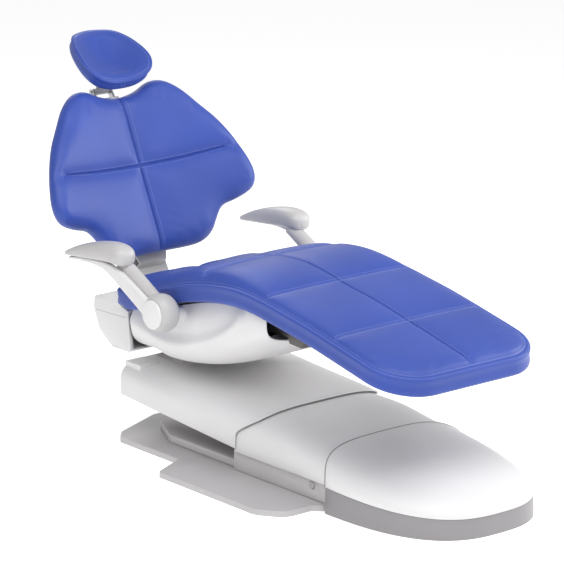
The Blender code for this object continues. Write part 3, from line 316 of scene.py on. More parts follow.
def puff(points, faces, held, pressure, most):
    """Cloth under pressure with its seams held; no point moves further than most."""
    mesh = bpy.data.meshes.new("sheet")
    mesh.from_pydata([tuple(p) for p in points], [], [tuple(int(i) for i in f) for f in faces])
    sheet = bpy.data.objects.new("sheet", mesh)
    scene = bpy.context.scene
    scene.collection.objects.link(sheet)
    group = sheet.vertex_groups.new(name="held")
    group.add([int(i) for i in np.nonzero(held)[0]], 1.0, "REPLACE")
    cloth = sheet.modifiers.new("cloth", "CLOTH")
    settings = cloth.settings
    settings.quality = 4
    settings.mass = 0.3
    settings.tension_stiffness = 18.0
    settings.compression_stiffness = 12.0
    settings.shear_stiffness = 6.0
    settings.bending_stiffness = 0.6
    settings.air_damping = 2.0
    settings.use_pressure = True
    settings.uniform_pressure_force = pressure
    settings.vertex_group_mass = "held"
    settings.effector_weights.gravity = 0.0
    cloth.point_cache.frame_start = 1
    cloth.point_cache.frame_end = CLOTH_FRAMES
    for number in range(1, CLOTH_FRAMES + 1):
        scene.frame_set(number)
    graph = bpy.context.evaluated_depsgraph_get()
    shown = sheet.evaluated_get(graph).data
    moved = np.zeros(len(points) * 3, np.float32)
    shown.vertices.foreach_get("co", moved)
    scene.frame_set(1)
    bpy.data.objects.remove(sheet)
    shift = moved.reshape(-1, 3).astype(float) - points
    size = np.linalg.norm(shift, axis=1)
    soft = most * np.tanh(size / most)
    return points + shift * (soft / np.maximum(size, 1e-9))[:, None]


FULL_SPACING_REACH = 0.045            # narrower than this, the rings by the spine close up
HELD_AT_SEAM = 0.003


def cushion(sides, spine, rims, inner, outer, height, seams, cloth):
    """A cushion in flat coordinates (across, along, height): its grid, faces and edge distances.

    sides: two paths of the same count with shared ends. spine: as many points, where the two
    halves meet. rims: distances of the border rings from the edge. inner: count of rings from
    the border to the spine. outer: (inset, height) rings below the edge. height: function of
    (across, along, distance from the edge). seams: function of (across, along) giving the
    distance to the nearest seam. cloth: the width of the border that is held, the pressure and
    the largest movement.
    """
    full = np.vstack([sides[0], sides[1][::-1][1:-1]])
    tangent = unit(np.roll(full, -1, 0) - np.roll(full, 1, 0))
    inward = np.stack([-tangent[:, 1], tangent[:, 0]], 1)
    middle = full.mean(0)
    if np.sum((middle - full) * inward) < 0:
        inward = -inward
    count = len(full)
    back = np.r_[np.arange(len(spine)), np.arange(len(spine) - 2, 0, -1)]
    targets = spine[back]
    near = np.array(NEAR_SEAM)
    rows, depths = [], []
    for inset, _ in outer:
        rows.append(full + inward * inset)
        depths.append(np.full(count, inset))
    for rim in rims:
        rows.append(full + inward * rim)
        depths.append(np.full(count, rim))
    base = full + inward * rims[-1]
    reach = np.linalg.norm(targets - base, axis=1)
    squeeze = np.minimum(1.0, reach / FULL_SPACING_REACH)
    for step in range(1, inner + 1):
        left = inner - step
        if left < len(near):
            from_spine = near[left] * squeeze
        else:
            fraction = (left - len(near) + 1) / (inner - len(near) + 1)
            edge = near[-1] * squeeze
            from_spine = edge + (reach - edge) * fraction
        share = (from_spine / np.maximum(reach, 1e-9))[:, None]
        rows.append(base * share + targets * (1 - share))
        depths.append(rims[-1] + reach - from_spine)
    plan = np.array(rows)
    depth = np.array(depths)
    total = len(rows)
    level = np.zeros((total, count))
    for row, (_, low) in enumerate(outer):
        level[row] = low
    top = slice(len(outer), total)
    level[top] = height(plan[top][:, :, 0], plan[top][:, :, 1], depth[top])
    flat = np.dstack([plan, level]).reshape(-1, 3)
    faces = grid_faces(total, count, closed=True)
    # the underside is closed from one half to the other
    for k in range(count // 2):
        quad = (k, k + 1, count - k - 1, (count - k) % count)
        faces.append(tuple(dict.fromkeys(quad)))
    below = len(outer) * count
    sheet = flat[below:]
    distance = seams(sheet[:, 0], sheet[:, 1])
    held = (distance < HELD_AT_SEAM) | (depth[top].reshape(-1) < cloth["border"])
    sheet_faces = orient(sheet, grid_faces(total - len(outer), count, closed=True))
    moved = puff(sheet, sheet_faces, held, cloth["pressure"], cloth["most"])
    flat = np.vstack([flat[:below], moved])
    return flat.reshape(total, count, 3), faces, depth


def placed(place, grid):
    """A grid of flat coordinates, bent onto its place on the chair."""
    return place(*grid.reshape(-1, 3).T).reshape(grid.shape)


def orient(points, faces):
    """The faces, turned so that their heights point up."""
    a, b, c, _ = faces[len(faces) // 2]
    normal = np.cross(points[b] - points[a], points[c] - points[a])
    return faces if normal[2] > 0 else [f[::-1] for f in faces]


def tube(name, loop, radius, look, body, slot, closed=True):
    """A round cord along a line of points."""
    curve = bpy.data.curves.new(name, "CURVE")
    curve.dimensions = "3D"
    curve.bevel_depth = radius
    curve.bevel_resolution = 3 if closed else 2
    curve.use_fill_caps = not closed
    spline = curve.splines.new("POLY")
    spline.points.add(len(loop) - 1)
    for point, where in zip(spline.points, loop):
        point.co = (*where, 1.0)
    spline.use_cyclic_u = closed
    curve.materials.append(look)
    made = bpy.data.objects.new(name, curve)
    bpy.context.scene.collection.objects.link(made)
    graph = bpy.context.evaluated_depsgraph_get()
    mesh = bpy.data.meshes.new_from_object(made.evaluated_get(graph))
    mesh.name = name
    bpy.data.objects.remove(made)
    solid = bpy.data.objects.new(name, mesh)
    bpy.context.scene.collection.objects.link(solid)
    tidy_normals(solid)
    settle(solid, body, slot)


def stitches(name, lines, body, pitch=4.6 * MM, size=3.1 * MM, radius=0.72 * MM, closed=False):
    """Thread stitches along lines of (points, normals)."""
    ring = [(math.cos(a), math.sin(a)) for a in np.arange(6) * math.pi / 3]
    profile = ((-0.5, 0.15), (-0.34, 0.8), (0.0, 1.0), (0.34, 0.8), (0.5, 0.15))
    points, faces = [], []
    for line, normals in lines:
        if closed:
            line, normals = np.vstack([line, line[:1]]), np.vstack([normals, normals[:1]])
        length = path_length(line)
        count = int(length / pitch)
        at = (np.arange(count) + 0.5) * length / count
        where = resample(line, at)
        ahead = resample(line, np.minimum(at + 0.4 * size, length))
        behind = resample(line, np.maximum(at - 0.4 * size, 0.0))
        steps = np.r_[0.0, np.cumsum(np.linalg.norm(np.diff(line, axis=0), axis=1))]
        up = np.stack([np.interp(at, steps, normals[:, k]) for k in range(3)], 1)
        run = unit(ahead - behind)
        up = unit(up - run * np.sum(up * run, 1)[:, None])
        side = np.cross(run, up)
        for w, r, u, s in zip(where, run, up, side):
            first = len(points)
            for position, width in profile:
                for c, v in ring:
                    points.append(w + r * (position * size) + s * (c * width * radius)
                                  + u * ((v * width * 0.8 + 0.25) * radius))
            faces += grid_faces(len(profile), 6, closed=True, start=first)
            faces.append(tuple(first + k for k in range(5, -1, -1)))
            faces.append(tuple(first + (len(profile) - 1) * 6 + k for k in range(6)))
    piece(name, points, faces, THREAD, body, "upholstery")


def normals_of(world, row, facing):
    """Unit normals of a grid of points in closed rows, turned so that one row faces a way."""
    across = np.roll(world, -1, 1) - np.roll(world, 1, 1)
    along = np.gradient(world, axis=0)
    normal = np.cross(along, across)
    normal /= np.maximum(np.linalg.norm(normal, axis=2)[:, :, None], 1e-12)
    return normal if np.dot(normal[row].mean(0), facing) > 0 else -normal


def finish_cushion(name, world, faces, body, node):
    """The cushion's piece, smoothed once."""
    made = piece(name, world.reshape(-1, 3), faces, VINYL, body, "upholstery", node)
    tidy_normals(made, weld=2e-5)
    modifier(made, "SUBSURF", levels=1, render_levels=1, use_limit_surface=False)


# -------------------- places of the cushions
SEAT_LOW, SEAT_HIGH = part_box("seat_cushion")
SEAT_HALF = SEAT_HIGH.x
SEAT_TOE, SEAT_REAR = SEAT_LOW.y, SEAT_HIGH.y
SEAT_CORNER = 0.130
SEAT_REAR_CORNER = 0.030
SEAT_THICK = 0.050
# height of the seat's upper edge and of the crown above it, along the chair: (y, metres)
SEAT_LINE = ((0.30, 0.415), (0.165, 0.420), (0.04, 0.438), (-0.18, 0.500), (-0.36, 0.523),
             (-0.56, 0.500), (-0.80, 0.453), (-1.00, 0.408), (-1.10, 0.386))
CROWN_LINE = ((0.30, 0.020), (0.165, 0.022), (0.10, 0.026), (-0.05, 0.036), (-0.20, 0.041),
              (-0.30, 0.036), (-0.39, 0.026), (-0.47, 0.019), (-0.60, 0.018), (-1.00, 0.016),
              (-1.10, 0.016))
SEAT_SEAMS = (-0.200, -0.470, -0.740)
BORDER = 0.019                       # flat stitched border round the seat's top
BORDER_ROWS = (0.0055, 0.0155)       # its two stitched rows, from the edge
BORDER_CREASE = 0.0195
SEAM_ROW = 0.0075                    # stitched rows on either side of a seat seam


def leaning_frame(origin, lean, dish):
    """Places (across, along, height) on a dished face that leans back."""
    up = np.array((0.0, math.sin(lean), math.cos(lean)))
    front = np.array((0.0, -math.cos(lean), math.sin(lean)))

    def place(across, along, height):
        across = np.asarray(across, float)
        return (np.array(origin) + across[:, None] * np.array((1.0, 0.0, 0.0))
                + np.asarray(along)[:, None] * up
                + (dish * across ** 2 + np.asarray(height))[:, None] * front)
    return place


BACK_PLACE = leaning_frame((0.0, 0.3716, 0.6850), math.radians(25.0), 0.50)
HEAD_PLACE = leaning_frame((0.0, 0.441, 0.915), math.radians(56.0), 2.0)
BACK_THICK = 0.055
HEAD_THICK = 0.046
BACK_OUTLINE = ((0.0, 0.202), (0.060, 0.211), (0.112, 0.232), (0.155, 0.228), (0.200, 0.196),
                (0.243, 0.143), (0.287, 0.084), (0.325, 0.006), (0.347, -0.074),
                (0.333, -0.123), (0.285, -0.144), (0.232, -0.156), (0.202, -0.190),
                (0.178, -0.222), (0.128, -0.244), (0.0, -0.244))
BACK_SPLIT = 7                       # outline point where the horizontal seam meets the edge
SPAN = 12                            # smooth points between two outline points
HEAD_OUTLINE = ((0.0, 0.0), (0.052, 0.002), (0.091, 0.016), (0.111, 0.052), (0.109, 0.100),
                (0.091, 0.155), (0.060, 0.192), (0.0, 0.208))


def seat_place(across, along, height):
    return np.stack([across, along, along_line(SEAT_LINE, along) + height], 1)


def groove(distance, valley, width, crease, narrow):
    """Depth of a sewn channel: a wide valley with a narrow crease in it."""
    return -valley * np.exp(-(distance / width) ** 2) - crease * np.exp(-(distance / narrow) ** 2)


def round_over(depth, radius, drop):
    """Fall of a surface towards its rounded edge."""
    t = np.clip(1.0 - depth / radius, 0.0, 1.0)
    return -drop * (1.0 - np.sqrt(1.0 - t ** 2))


# -------------------- seat
def seat_side(sign):
    half, corner, rear = SEAT_HALF, SEAT_CORNER, SEAT_REAR_CORNER
    turn = np.linspace(0.0, math.pi / 2, 25)
    path = [(0.0, SEAT_TOE)]
    path += [(half - corner + corner * math.sin(a), SEAT_TOE + corner - corner * math.cos(a))
             for a in turn]
    path += [(half - rear + rear * math.cos(a), SEAT_REAR - rear + rear * math.sin(a))
             for a in turn]
    path.append((0.0, SEAT_REAR))
    return np.array(path) * (sign, 1.0)


def make_seat():
    dense = seat_side(1.0)
    corner_run = SEAT_HALF - SEAT_CORNER + SEAT_CORNER * math.pi / 2
    length = path_length(dense)

    def run_of(y):
        return corner_run + y - (SEAT_TOE + SEAT_CORNER)
    at = stations(length, 0.014, [run_of(y) for y in SEAT_SEAMS])
    sides = [resample(seat_side(sign), at) for sign in (-1.0, 1.0)]
    knots = [0.0, run_of(SEAT_TOE + 0.20), run_of(0.05),
             run_of(SEAT_REAR - SEAT_REAR_CORNER), length]
    values = [SEAT_TOE + 0.036, SEAT_TOE + 0.20, 0.05, SEAT_REAR - 0.062, SEAT_REAR - 0.036]
    spine = np.stack([np.zeros(len(at)), np.interp(at, knots, values)], 1)

    def to_seam(x, y):
        return np.minimum(np.abs(x), np.min([np.abs(y - s) for s in SEAT_SEAMS], 0))

    def height(x, y, depth):
        crown = along_line(CROWN_LINE, y)
        reach = 0.034 + 0.3 * crown
        t = np.clip((depth - BORDER + 0.004) / reach, 0.0, 1.0)
        shoulder = np.sqrt(1.0 - (1.0 - t) ** 2.4)
        middle = 1.0 - 0.16 * (np.abs(x) / SEAT_HALF) ** 2
        seam = to_seam(x, y)
        swell = 0.0035 * (1.0 - np.exp(-(seam / 0.030) ** 2)) * smooth_step(depth, BORDER, 0.06)
        return round_over(depth, 0.007, 0.006) + crown * shoulder * middle - 0.003 * t + swell

    rims = (0.0, 0.0015, 0.0035, 0.0055, 0.0075, 0.0100, 0.0130, 0.0155, 0.0175, 0.0195, 0.0225,
            0.0265, 0.0315, 0.0370)
    outer = ((0.060, -0.049), (0.016, -0.050), (0.006, -0.0485), (0.0015, -0.044), (0.0008, -0.036),
             (0.0026, -0.026), (0.0026, -0.018), (0.0010, -0.011))
    flat, faces, depth = cushion(sides, spine, rims, 17, outer, height, to_seam,
                                 {"border": BORDER, "pressure": 3.6, "most": 0.0045})
    top = slice(len(outer), len(flat))
    grid = flat[top]
    inside = smooth_step(depth[top], BORDER - 0.004, BORDER + 0.006)
    seam = to_seam(grid[:, :, 0], grid[:, :, 1])
    grid[:, :, 2] += groove(seam, 0.0034, 0.010, 0.0034, 0.0018) * inside
    for line in BORDER_ROWS:
        grid[:, :, 2] += groove(np.abs(depth[top] - line), 0.0, 1.0, 0.0009, 0.0016)
    grid[:, :, 2] -= 0.0022 * np.exp(-((depth[top] - BORDER_CREASE) / 0.0022) ** 2)
    world = placed(seat_place, flat)
    finish_cushion("seat_upholstery", world, faces, "seat", "seat_cushion")

    normals = normals_of(world, len(outer) + len(rims) // 2, UP)
    count = len(at)
    lines = []
    for rim in BORDER_ROWS:
        row = len(outer) + rims.index(rim)
        lines.append((world[row], normals[row]))
    stitches("seat_border_stitches", lines, "seat", closed=True)
    cross = []
    first = len(outer) + rims.index(0.0225)
    for seam in SEAT_SEAMS:
        for offset in (-SEAM_ROW, SEAM_ROW):
            k = int(np.argmin(np.abs(at - run_of(seam) - offset)))
            other = (2 * count - 2 - k) % (2 * count - 2)
            cross.append((np.vstack([world[first:-4, k], world[first:-4, other][::-1]]),
                          np.vstack([normals[first:-4, k], normals[first:-4, other][::-1]])))
    for column in (slice(1, count - 1), slice(count, None)):
        cross.append((world[-5, column], normals[-5, column]))
    stitches("seat_seam_stitches", cross, "seat")


make_seat()


# -------------------- backrest
def from_middle(count, length):
    """Distances from a middle seam, close together beside it."""
    rest = NEAR_SEAM[-1] + (length - NEAR_SEAM[-1]) * np.arange(1, count + 1) / count
    return np.r_[NEAR_SEAM, rest]


def make_back():
    smooth = catmull(((-0.060, 0.211),) + BACK_OUTLINE + ((-0.128, -0.244),), SPAN)[SPAN:-SPAN]
    split = BACK_SPLIT * SPAN
    upper, lower = smooth[:split + 1], smooth[split:][::-1]
    seam_end = smooth[split] + (-0.045, 0.0)

    def whole(half_path):
        at = from_middle(30, path_length(half_path))
        half = resample(half_path, at)
        return np.vstack([half[::-1] * (-1.0, 1.0), half[1:]])
    sides = [whole(upper), whole(lower)]
    bow = catmull(((0.0, 0.0), (0.15, 0.001), tuple(seam_end)), 20)
    spine = whole(bow)

    def to_seam(x, y):
        line = np.interp(np.abs(x), bow[:, 0], bow[:, 1])
        return np.minimum(np.abs(x), np.abs(y - line))

    def height(x, y, depth):
        seam = to_seam(x, y)
        swell = 0.0075 * (1.0 - np.exp(-(seam / 0.034) ** 2))
        dimple = np.exp(-((x / 0.05) ** 2 + (depth / 0.030) ** 2)) * (np.abs(y) > 0.1)
        rest = smooth_step(depth, 0.0, 0.045)
        return round_over(depth, 0.030, 0.026) - 0.005 + swell * rest - 0.004 * dimple

    rims = (0.0, 0.0012, 0.003, 0.006, 0.010, 0.0145, 0.0195, 0.025, 0.031)
    outer = ((0.070, -BACK_THICK), (0.030, -BACK_THICK), (0.015, -0.0535), (0.006, -0.0490),
             (0.0015, -0.0430), (0.0, -0.0365))
    flat, faces, depth = cushion(sides, spine, rims, 22, outer, height, to_seam,
                                 {"border": 0.013, "pressure": 4.0, "most": 0.0060})
    top = slice(len(outer), len(flat))
    grid = flat[top]
    inside = smooth_step(depth[top], 0.0, 0.012)
    seam = to_seam(grid[:, :, 0], grid[:, :, 1])
    grid[:, :, 2] += groove(seam, 0.0048, 0.016, 0.0040, 0.0021) * inside
    x, y = grid[:, :, 0], grid[:, :, 1]
    # a welt stands up on one side of each seam
    upright = np.exp(-((x - 0.0062) / 0.0042) ** 2)
    level = np.exp(-((y + 0.0062) / 0.0042) ** 2) * (np.abs(x) < 0.27)
    grid[:, :, 2] += 0.0012 * np.clip(upright + level, 0.0, 1.0) * inside
    # slack vinyl gathers beside the lower part of the middle seam
    fold = np.sin((x * 0.55 + y) * 2 * math.pi / 0.030) * np.exp(-((x - 0.052) / 0.026) ** 2)
    fold = 0.0011 * fold * smooth_step(-y, 0.10, 0.16)
    grid[:, :, 2] += fold * smooth_step(depth[top], 0.01, 0.04)
    world = placed(BACK_PLACE, flat)
    finish_cushion("back_upholstery", world, faces, "backrest", "back_cushion")

    normals = normals_of(world, len(outer) + len(rims), FORWARD)
    count = len(sides[0])
    middle = count // 2
    lines = []
    first = len(outer) + 5
    for k in (middle + 5, middle - 5):
        for column in (k, (2 * count - 2 - k) % (2 * count - 2)):
            lines.append((world[first:-4, column], normals[first:-4, column]))
    for column in (slice(2, count - 2), slice(count + 1, 2 * count - 4)):
        lines.append((world[-5, column], normals[-5, column]))
    stitches("back_seam_stitches", lines, "backrest")


make_back()


# -------------------- headrest
def make_headrest():
    smooth = catmull(((-0.052, 0.002),) + HEAD_OUTLINE + ((-0.060, 0.192),), SPAN)[SPAN:-SPAN]
    count = 44
    at = np.linspace(0.0, path_length(smooth), count)
    side = resample(smooth, at)
    sides = [side * (-1.0, 1.0), side]
    spine = np.stack([np.zeros(count), np.interp(at, (0.0, at[-1]), (0.052, 0.158))], 1)

    def no_seam(x, y):
        return np.full(np.shape(x), 1.0)

    def height(x, y, depth):
        hollow = np.exp(-((x / 0.060) ** 2 + ((y - 0.095) / 0.060) ** 2))
        rim = np.exp(-((depth - 0.020) / 0.014) ** 2)
        return round_over(depth, 0.007, 0.0055) - 0.004 + 0.0035 * rim - 0.011 * hollow

    rims = (0.0, 0.0012, 0.003, 0.0055, 0.0085, 0.0125, 0.0175, 0.0230)
    outer = ((0.034, -HEAD_THICK), (0.018, -HEAD_THICK), (0.008, -0.0435), (0.0025, -0.0385),
             (0.0, -0.032), (0.0008, -0.022), (0.0015, -0.0125))
    flat, faces, depth = cushion(sides, spine, rims, 14, outer, height, no_seam,
                                 {"border": 0.006, "pressure": 3.0, "most": 0.0030})
    world = placed(HEAD_PLACE, flat)
    finish_cushion("headrest_upholstery", world, faces, "headrest", "headrest_cushion")
    row = len(outer)
    loop = HEAD_PLACE(flat[row, :, 0] * 1.008, flat[row, :, 1], flat[row, :, 2] + 0.0006)
    tube("headrest_piping", loop, 0.0021, PIPING, "headrest", "upholstery")
    normals = normals_of(world, row + 4, FORWARD)
    stitches("headrest_stitches", [(world[row + 4], normals[row + 4])], "headrest", closed=True)
    # a doubled seam where the side band is joined, under the middle of the rim
    band = []
    rows = np.arange(3, row + 1)
    for across in (-0.006, 0.006):
        k = int(np.argmin(np.abs(flat[row, :, 0] - across) + 10 * (flat[row, :, 1] > 0.05)))
        line = world[rows, k] + (across - flat[row, k, 0], 0.0, 0.0)
        band.append((line, normals[rows, k]))
    stitches("headrest_band_stitches", band, "headrest", pitch=4.0 * MM, size=2.7 * MM)


make_headrest()


# -------------------- mouldings
def superellipse(angle, power):
    c, s = np.cos(angle), np.sin(angle)
    return np.sign(c) * np.abs(c) ** (2.0 / power), np.sign(s) * np.abs(s) ** (2.0 / power)


def soften(made, width, angle):
    """Rounds off every edge that is sharper than an angle."""
    modifier(made, "BEVEL", width=width, segments=2, limit_method="ANGLE", angle_limit=angle)


def shell(name, rows, look, wall, body, slot, node, centre, rim=0.0012, hole=None):
    """A moulded skin over a grid of outer points, with a wall inside it and softened rims.

    centre: a point inside. hole: function of a face's centre that says whether to leave it out.
    """
    grid = np.array(rows)
    points = grid.reshape(-1, 3)
    faces = grid_faces(*grid.shape[:2])
    if hole is not None:
        faces = [face for face in faces if not hole(points[list(face)].mean(0))]
    made = piece(name, points, faces, look, body, slot, node)
    tidy_normals(made)
    centre = Vector(centre)
    outward = sum(p.normal.dot(p.center - centre) * p.area for p in made.data.polygons)
    if outward < 0:
        made.data.flip_normals()
    modifier(made, "SOLIDIFY", thickness=wall, offset=-1.0, use_even_offset=True)
    soften(made, rim, RIM_ANGLE)


TOE_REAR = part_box("toe_trim")[1].y
TOE_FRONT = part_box("toe_trim")[0].y
TOE_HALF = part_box("toe_trim")[1].x
TOE_LENGTH = TOE_REAR - TOE_FRONT
TOE_CROWN = 0.1636                   # height of the toe cover
TOE_RAKE = 0.0457                    # how far its top reaches back over its foot
TOE_CENTRE = (0.0, TOE_REAR - 0.1, 0.0)
TRIM_HEIGHT, TRIM_DROP = 0.070, 0.017     # the grey band at its rear, and its fall to the toes
COVER_FRONT, COVER_HEIGHT, COVER_SLOPE = -0.70, 0.167, 0.045


def trim_height(y):
    return TRIM_HEIGHT - TRIM_DROP * np.clip((TOE_REAR - y) / TOE_LENGTH, 0.0, 1.0)


def cover_top(y):
    """Height of the lift arm's covers along the chair."""
    return COVER_HEIGHT + COVER_SLOPE * (y - COVER_FRONT)


def make_toe():
    around = np.linspace(math.pi, 0.0, 97)
    plan_x, plan_y = superellipse(around, 2.7)
    plan_y = np.maximum(plan_y, 0.0)
    power = 3.0 - 1.4 * plan_y ** 0.565
    edge_y = TOE_REAR - TOE_LENGTH * plan_y
    low = trim_height(edge_y) + 0.0004
    rows = [np.stack([TOE_HALF * plan_x, edge_y, low], 1)]
    for angle in np.linspace(0.0, math.pi / 2, 30)[1:]:
        reach = np.zeros(len(power))
        if angle < math.pi / 2 - 1e-9:
            reach = np.cos(angle) ** (2.0 / power)
        lift = np.sin(angle) ** (2.0 / power)
        rear = TOE_REAR + TOE_RAKE * (1.0 - reach ** 6)
        length = TOE_LENGTH * reach + rear - TOE_REAR
        y = rear - length * plan_y
        rows.append(np.stack([TOE_HALF * reach * plan_x, y, low + (TOE_CROWN - low) * lift], 1))
    shell("toe_cover_moulding", rows, WHITE, 0.003, "base", "white_plastic", "toe_cover",
          TOE_CENTRE, rim=0.0009)

    # a dark grey cord along the toe cover's rear edge: painted shade standing in for the shadow in
    # the seam between the toe cover and the mid cover
    edge = np.vstack([[row[0] for row in rows], [row[-1] for row in rows[::-1]][1:]])
    edge = edge + np.array((0.0, 0.0012, 0.0))
    tube("toe_cover_painted_seam_shade", edge, 0.0013, TRIM, "base", "grey_plastic", closed=False)

    band = []
    top = trim_height(edge_y)
    for height, inset in ((0.0, 0.0), (0.004, -0.0008), (0.25, -0.0008), (0.5, -0.0006),
                          (0.75, -0.0003), (0.94, 0.0), (0.985, 0.0006), (1.0, 0.0018)):
        grow = (TOE_HALF - inset) / TOE_HALF
        band.append(np.stack([TOE_HALF * plan_x * grow, TOE_REAR - TOE_LENGTH * plan_y * grow,
                              height * top], 1))
    shell("toe_trim_moulding", band, TRIM, 0.004, "base", "grey_plastic", "toe_trim",
          TOE_CENTRE, rim=0.0008)


make_toe()

MID_LOW, MID_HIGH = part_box("mid_cover")
LIFT_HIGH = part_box("lift_cover")[1]
JOIN_SIDE, JOIN_TOP = -0.334, -0.400  # y of the lift cover's front edge, at the side and on top
MID_FRONT_TOP = 0.1600               # height of the mid cover where it meets the toe cover
MID_REAR = -0.42                     # y from which the mid cover is as high as the lift cover
LIFT_FOOT, FOOT_SLOPE = 0.083, 0.069  # lower edge of the lift cover
CARRIAGE_SLOT = ((0.040, 0.163), 0.120, 0.17)     # y from and to, half width, above this height


def arch_row(y, half, low, top, power, shear):
    """Section of a cover at y, its upper part moved along the chair by shear."""
    around = np.linspace(math.pi, 0.0, 57)
    c, s = superellipse(around, power)
    s = np.maximum(s, 0.0)
    return np.stack([half * c, y + shear * smooth_step(s, 0.35, 0.97), low + (top - low) * s], 1)


def make_lift_covers():
    rows = []
    for y in np.linspace(MID_LOW.y, MID_HIGH.y - 0.004, 14):
        rise = (cover_top(MID_REAR) - MID_FRONT_TOP) * float(smooth_step(y, -0.690, MID_REAR))
        top = MID_FRONT_TOP + rise
        power = 3.0 + 0.7 * float(smooth_step(y, -0.70, -0.50))
        rows.append(arch_row(y, MID_HIGH.x, MID_LOW.z, top, power,
                             -0.060 * smooth_step(y, -0.60, -0.33)))
    shell("mid_cover_moulding", rows, WHITE, 0.004, "lift_arm", "white_plastic", "mid_cover",
          (0.0, -0.5, 0.0))

    rear = LIFT_HIGH.y
    rows = []
    spots = [(JOIN_SIDE, -0.0005), (JOIN_SIDE + 0.002, 0.0)]
    spots += [(y, 0.0) for y in np.linspace(JOIN_SIDE + 0.020, rear - 0.020, 22)]
    spots += [(rear - 0.014, 0.0006), (rear - 0.009, 0.0022), (rear - 0.0045, 0.0052),
              (rear - 0.0015, 0.0090), (rear, 0.014)]
    for y, shrink in spots:
        along = np.clip((y - JOIN_SIDE) / (rear - JOIN_SIDE), 0.0, 1.0)
        low = LIFT_FOOT + FOOT_SLOPE * (y - MID_HIGH.y)
        shear = (JOIN_TOP - JOIN_SIDE) * (1.0 - smooth_step(along, 0.0, 0.45))
        rows.append(arch_row(y, LIFT_HIGH.x - shrink, low, cover_top(y) + 0.004 - shrink,
                             3.7 + 2.0 * along, shear))
    last = rows[-1]
    foot = last[:, 2].min()
    for factor in (0.9, 0.7, 0.4, 0.12):
        rows.append(np.stack([last[:, 0] * factor, np.full(len(last), rear),
                              foot + (last[:, 2] - foot) * (0.2 + 0.8 * factor)], 1))

    def slot(centre):
        (start, end), half, above = CARRIAGE_SLOT
        return abs(centre[0]) < half and start < centre[1] < end and centre[2] > above
    shell("lift_cover_moulding", rows, WHITE, 0.004, "lift_arm", "white_plastic", "lift_cover",
          (0.0, -0.1, 0.0), hole=slot)


make_lift_covers()

BOWL_LOW, BOWL_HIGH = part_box("seat_cover")
HUB_Y, HUB_Z = -0.100, 0.412         # the armrests' pivot
BOWL_FLOOR = 0.228                   # height of the bowl's underside
BOWL_TURN = 0.010                    # y at which the underside starts to rise forward
POST_Y, POST_RADIUS, POST_TOP = 0.095, 0.084, 0.26     # hole for the seat's post
# lower edge of the hollow round each armrest's hub: (y, height)
SCOOP_LINE = ((0.140, 0.338), (0.090, 0.322), (-0.015, 0.301), (-0.142, 0.322), (-0.27, 0.378),
              (-0.358, 0.448), (-0.460, 0.560))


def bowl_bottom(y):
    y = np.asarray(y, float)
    ahead = BOWL_FLOOR + 0.135 * (np.maximum(BOWL_TURN - y, 0.0) / 0.43) ** 2
    behind = BOWL_FLOOR + 0.013 * np.clip((y - BOWL_TURN) / 0.050, 0.0, 1.0)
    return np.where(y > BOWL_TURN, behind, ahead)


def make_bowl():
    rows = []
    around = np.linspace(math.pi, 0.0, 73)
    for y in np.linspace(BOWL_LOW.y, BOWL_HIGH.y - 0.001, 46):
        c, s = superellipse(around, 4.2)
        s = np.maximum(s, 0.0)
        top = float(along_line(SEAT_LINE, np.array([y]))[0]) - SEAT_THICK - 0.008
        low = float(bowl_bottom(y))
        z = top + (low - top) * s
        crease = float(along_line(SCOOP_LINE, np.array([y]))[0])
        inner = (smooth_step(z, crease - 0.002, crease + 0.030) * 0.6
                 + smooth_step(z, crease, crease + 0.10) * 0.4)
        lip = 0.0022 * np.exp(-((z - crease + 0.004) / 0.006) ** 2)
        edge = np.abs(c) > 0.55
        half = BOWL_HIGH.x - edge * 0.020 * inner
        rows.append(np.stack([half * c + np.sign(c) * lip * edge, np.full(len(c), y), z], 1))

    def post_hole(centre):
        near = math.hypot(centre[0], centre[1] - POST_Y) <= POST_RADIUS
        return near and centre[2] <= POST_TOP
    shell("seat_cover_moulding", rows, WHITE, 0.004, "seat", "white_plastic", "seat_cover",
          (0.0, -0.15, 0.42), hole=post_hole)


make_bowl()


# -------------------- armrests
def make_arm_pad(side):
    low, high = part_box("armrest_pad_" + side)
    centre_x = (low.x + high.x) / 2
    half = (high.x - low.x) / 2
    # (y, middle height, half height), front to rear
    sections = ((0.034, 0.529, 0.009), (0.037, 0.530, 0.016), (0.048, 0.5345, 0.0235),
                (0.070, 0.538, 0.0265), (0.100, 0.5385, 0.0270), (0.135, 0.535, 0.0265),
                (0.185, 0.5275, 0.0235), (0.232, 0.5185, 0.0180), (0.268, 0.5095, 0.0115),
                (0.288, 0.5035, 0.0065), (0.295, 0.501, 0.003))
    c, s = superellipse(np.linspace(0.0, 2 * math.pi, 41)[:-1], 2.7)
    rows = []
    for y, z, tall in catmull(sections, 6):
        along = np.clip((y - sections[0][0]) / (sections[-1][0] - sections[0][0]), 0.0, 1.0)
        ends = 1.0 - np.clip(abs(2 * along - 1.0), 0.0, 1.0) ** 10
        wide = half * max(0.30, ends ** 0.4)
        rows.append(np.stack([centre_x + wide * c, np.full(len(c), y), z + tall * s], 1))
    pad = piece("armrest_pad_moulding_" + side, *capped(rows), GREY, "armrest_" + side,
                "grey_plastic", "armrest_pad_" + side)
    tidy_normals(pad, 60)


for SIDE, _ in SIDES:
    make_arm_pad(SIDE)


def swept(name, line, section, look, body, *nodes):
    """A closed bar along a line of (y, z, half height), its sections square to the line.

    section: function of the half height giving the section's points, across and up.
    """
    path = catmull(line, 6)
    run = unit(np.gradient(path[:, :2], axis=0))
    rows = []
    for (y, z, tall), (run_y, run_z) in zip(path, run):
        across, rise = section(tall)
        rows.append(np.stack([across, y - run_z * rise, z + run_y * rise], 1))
    tidy_normals(piece(name, *capped(rows), look, body, "grey_plastic", *nodes), 50)


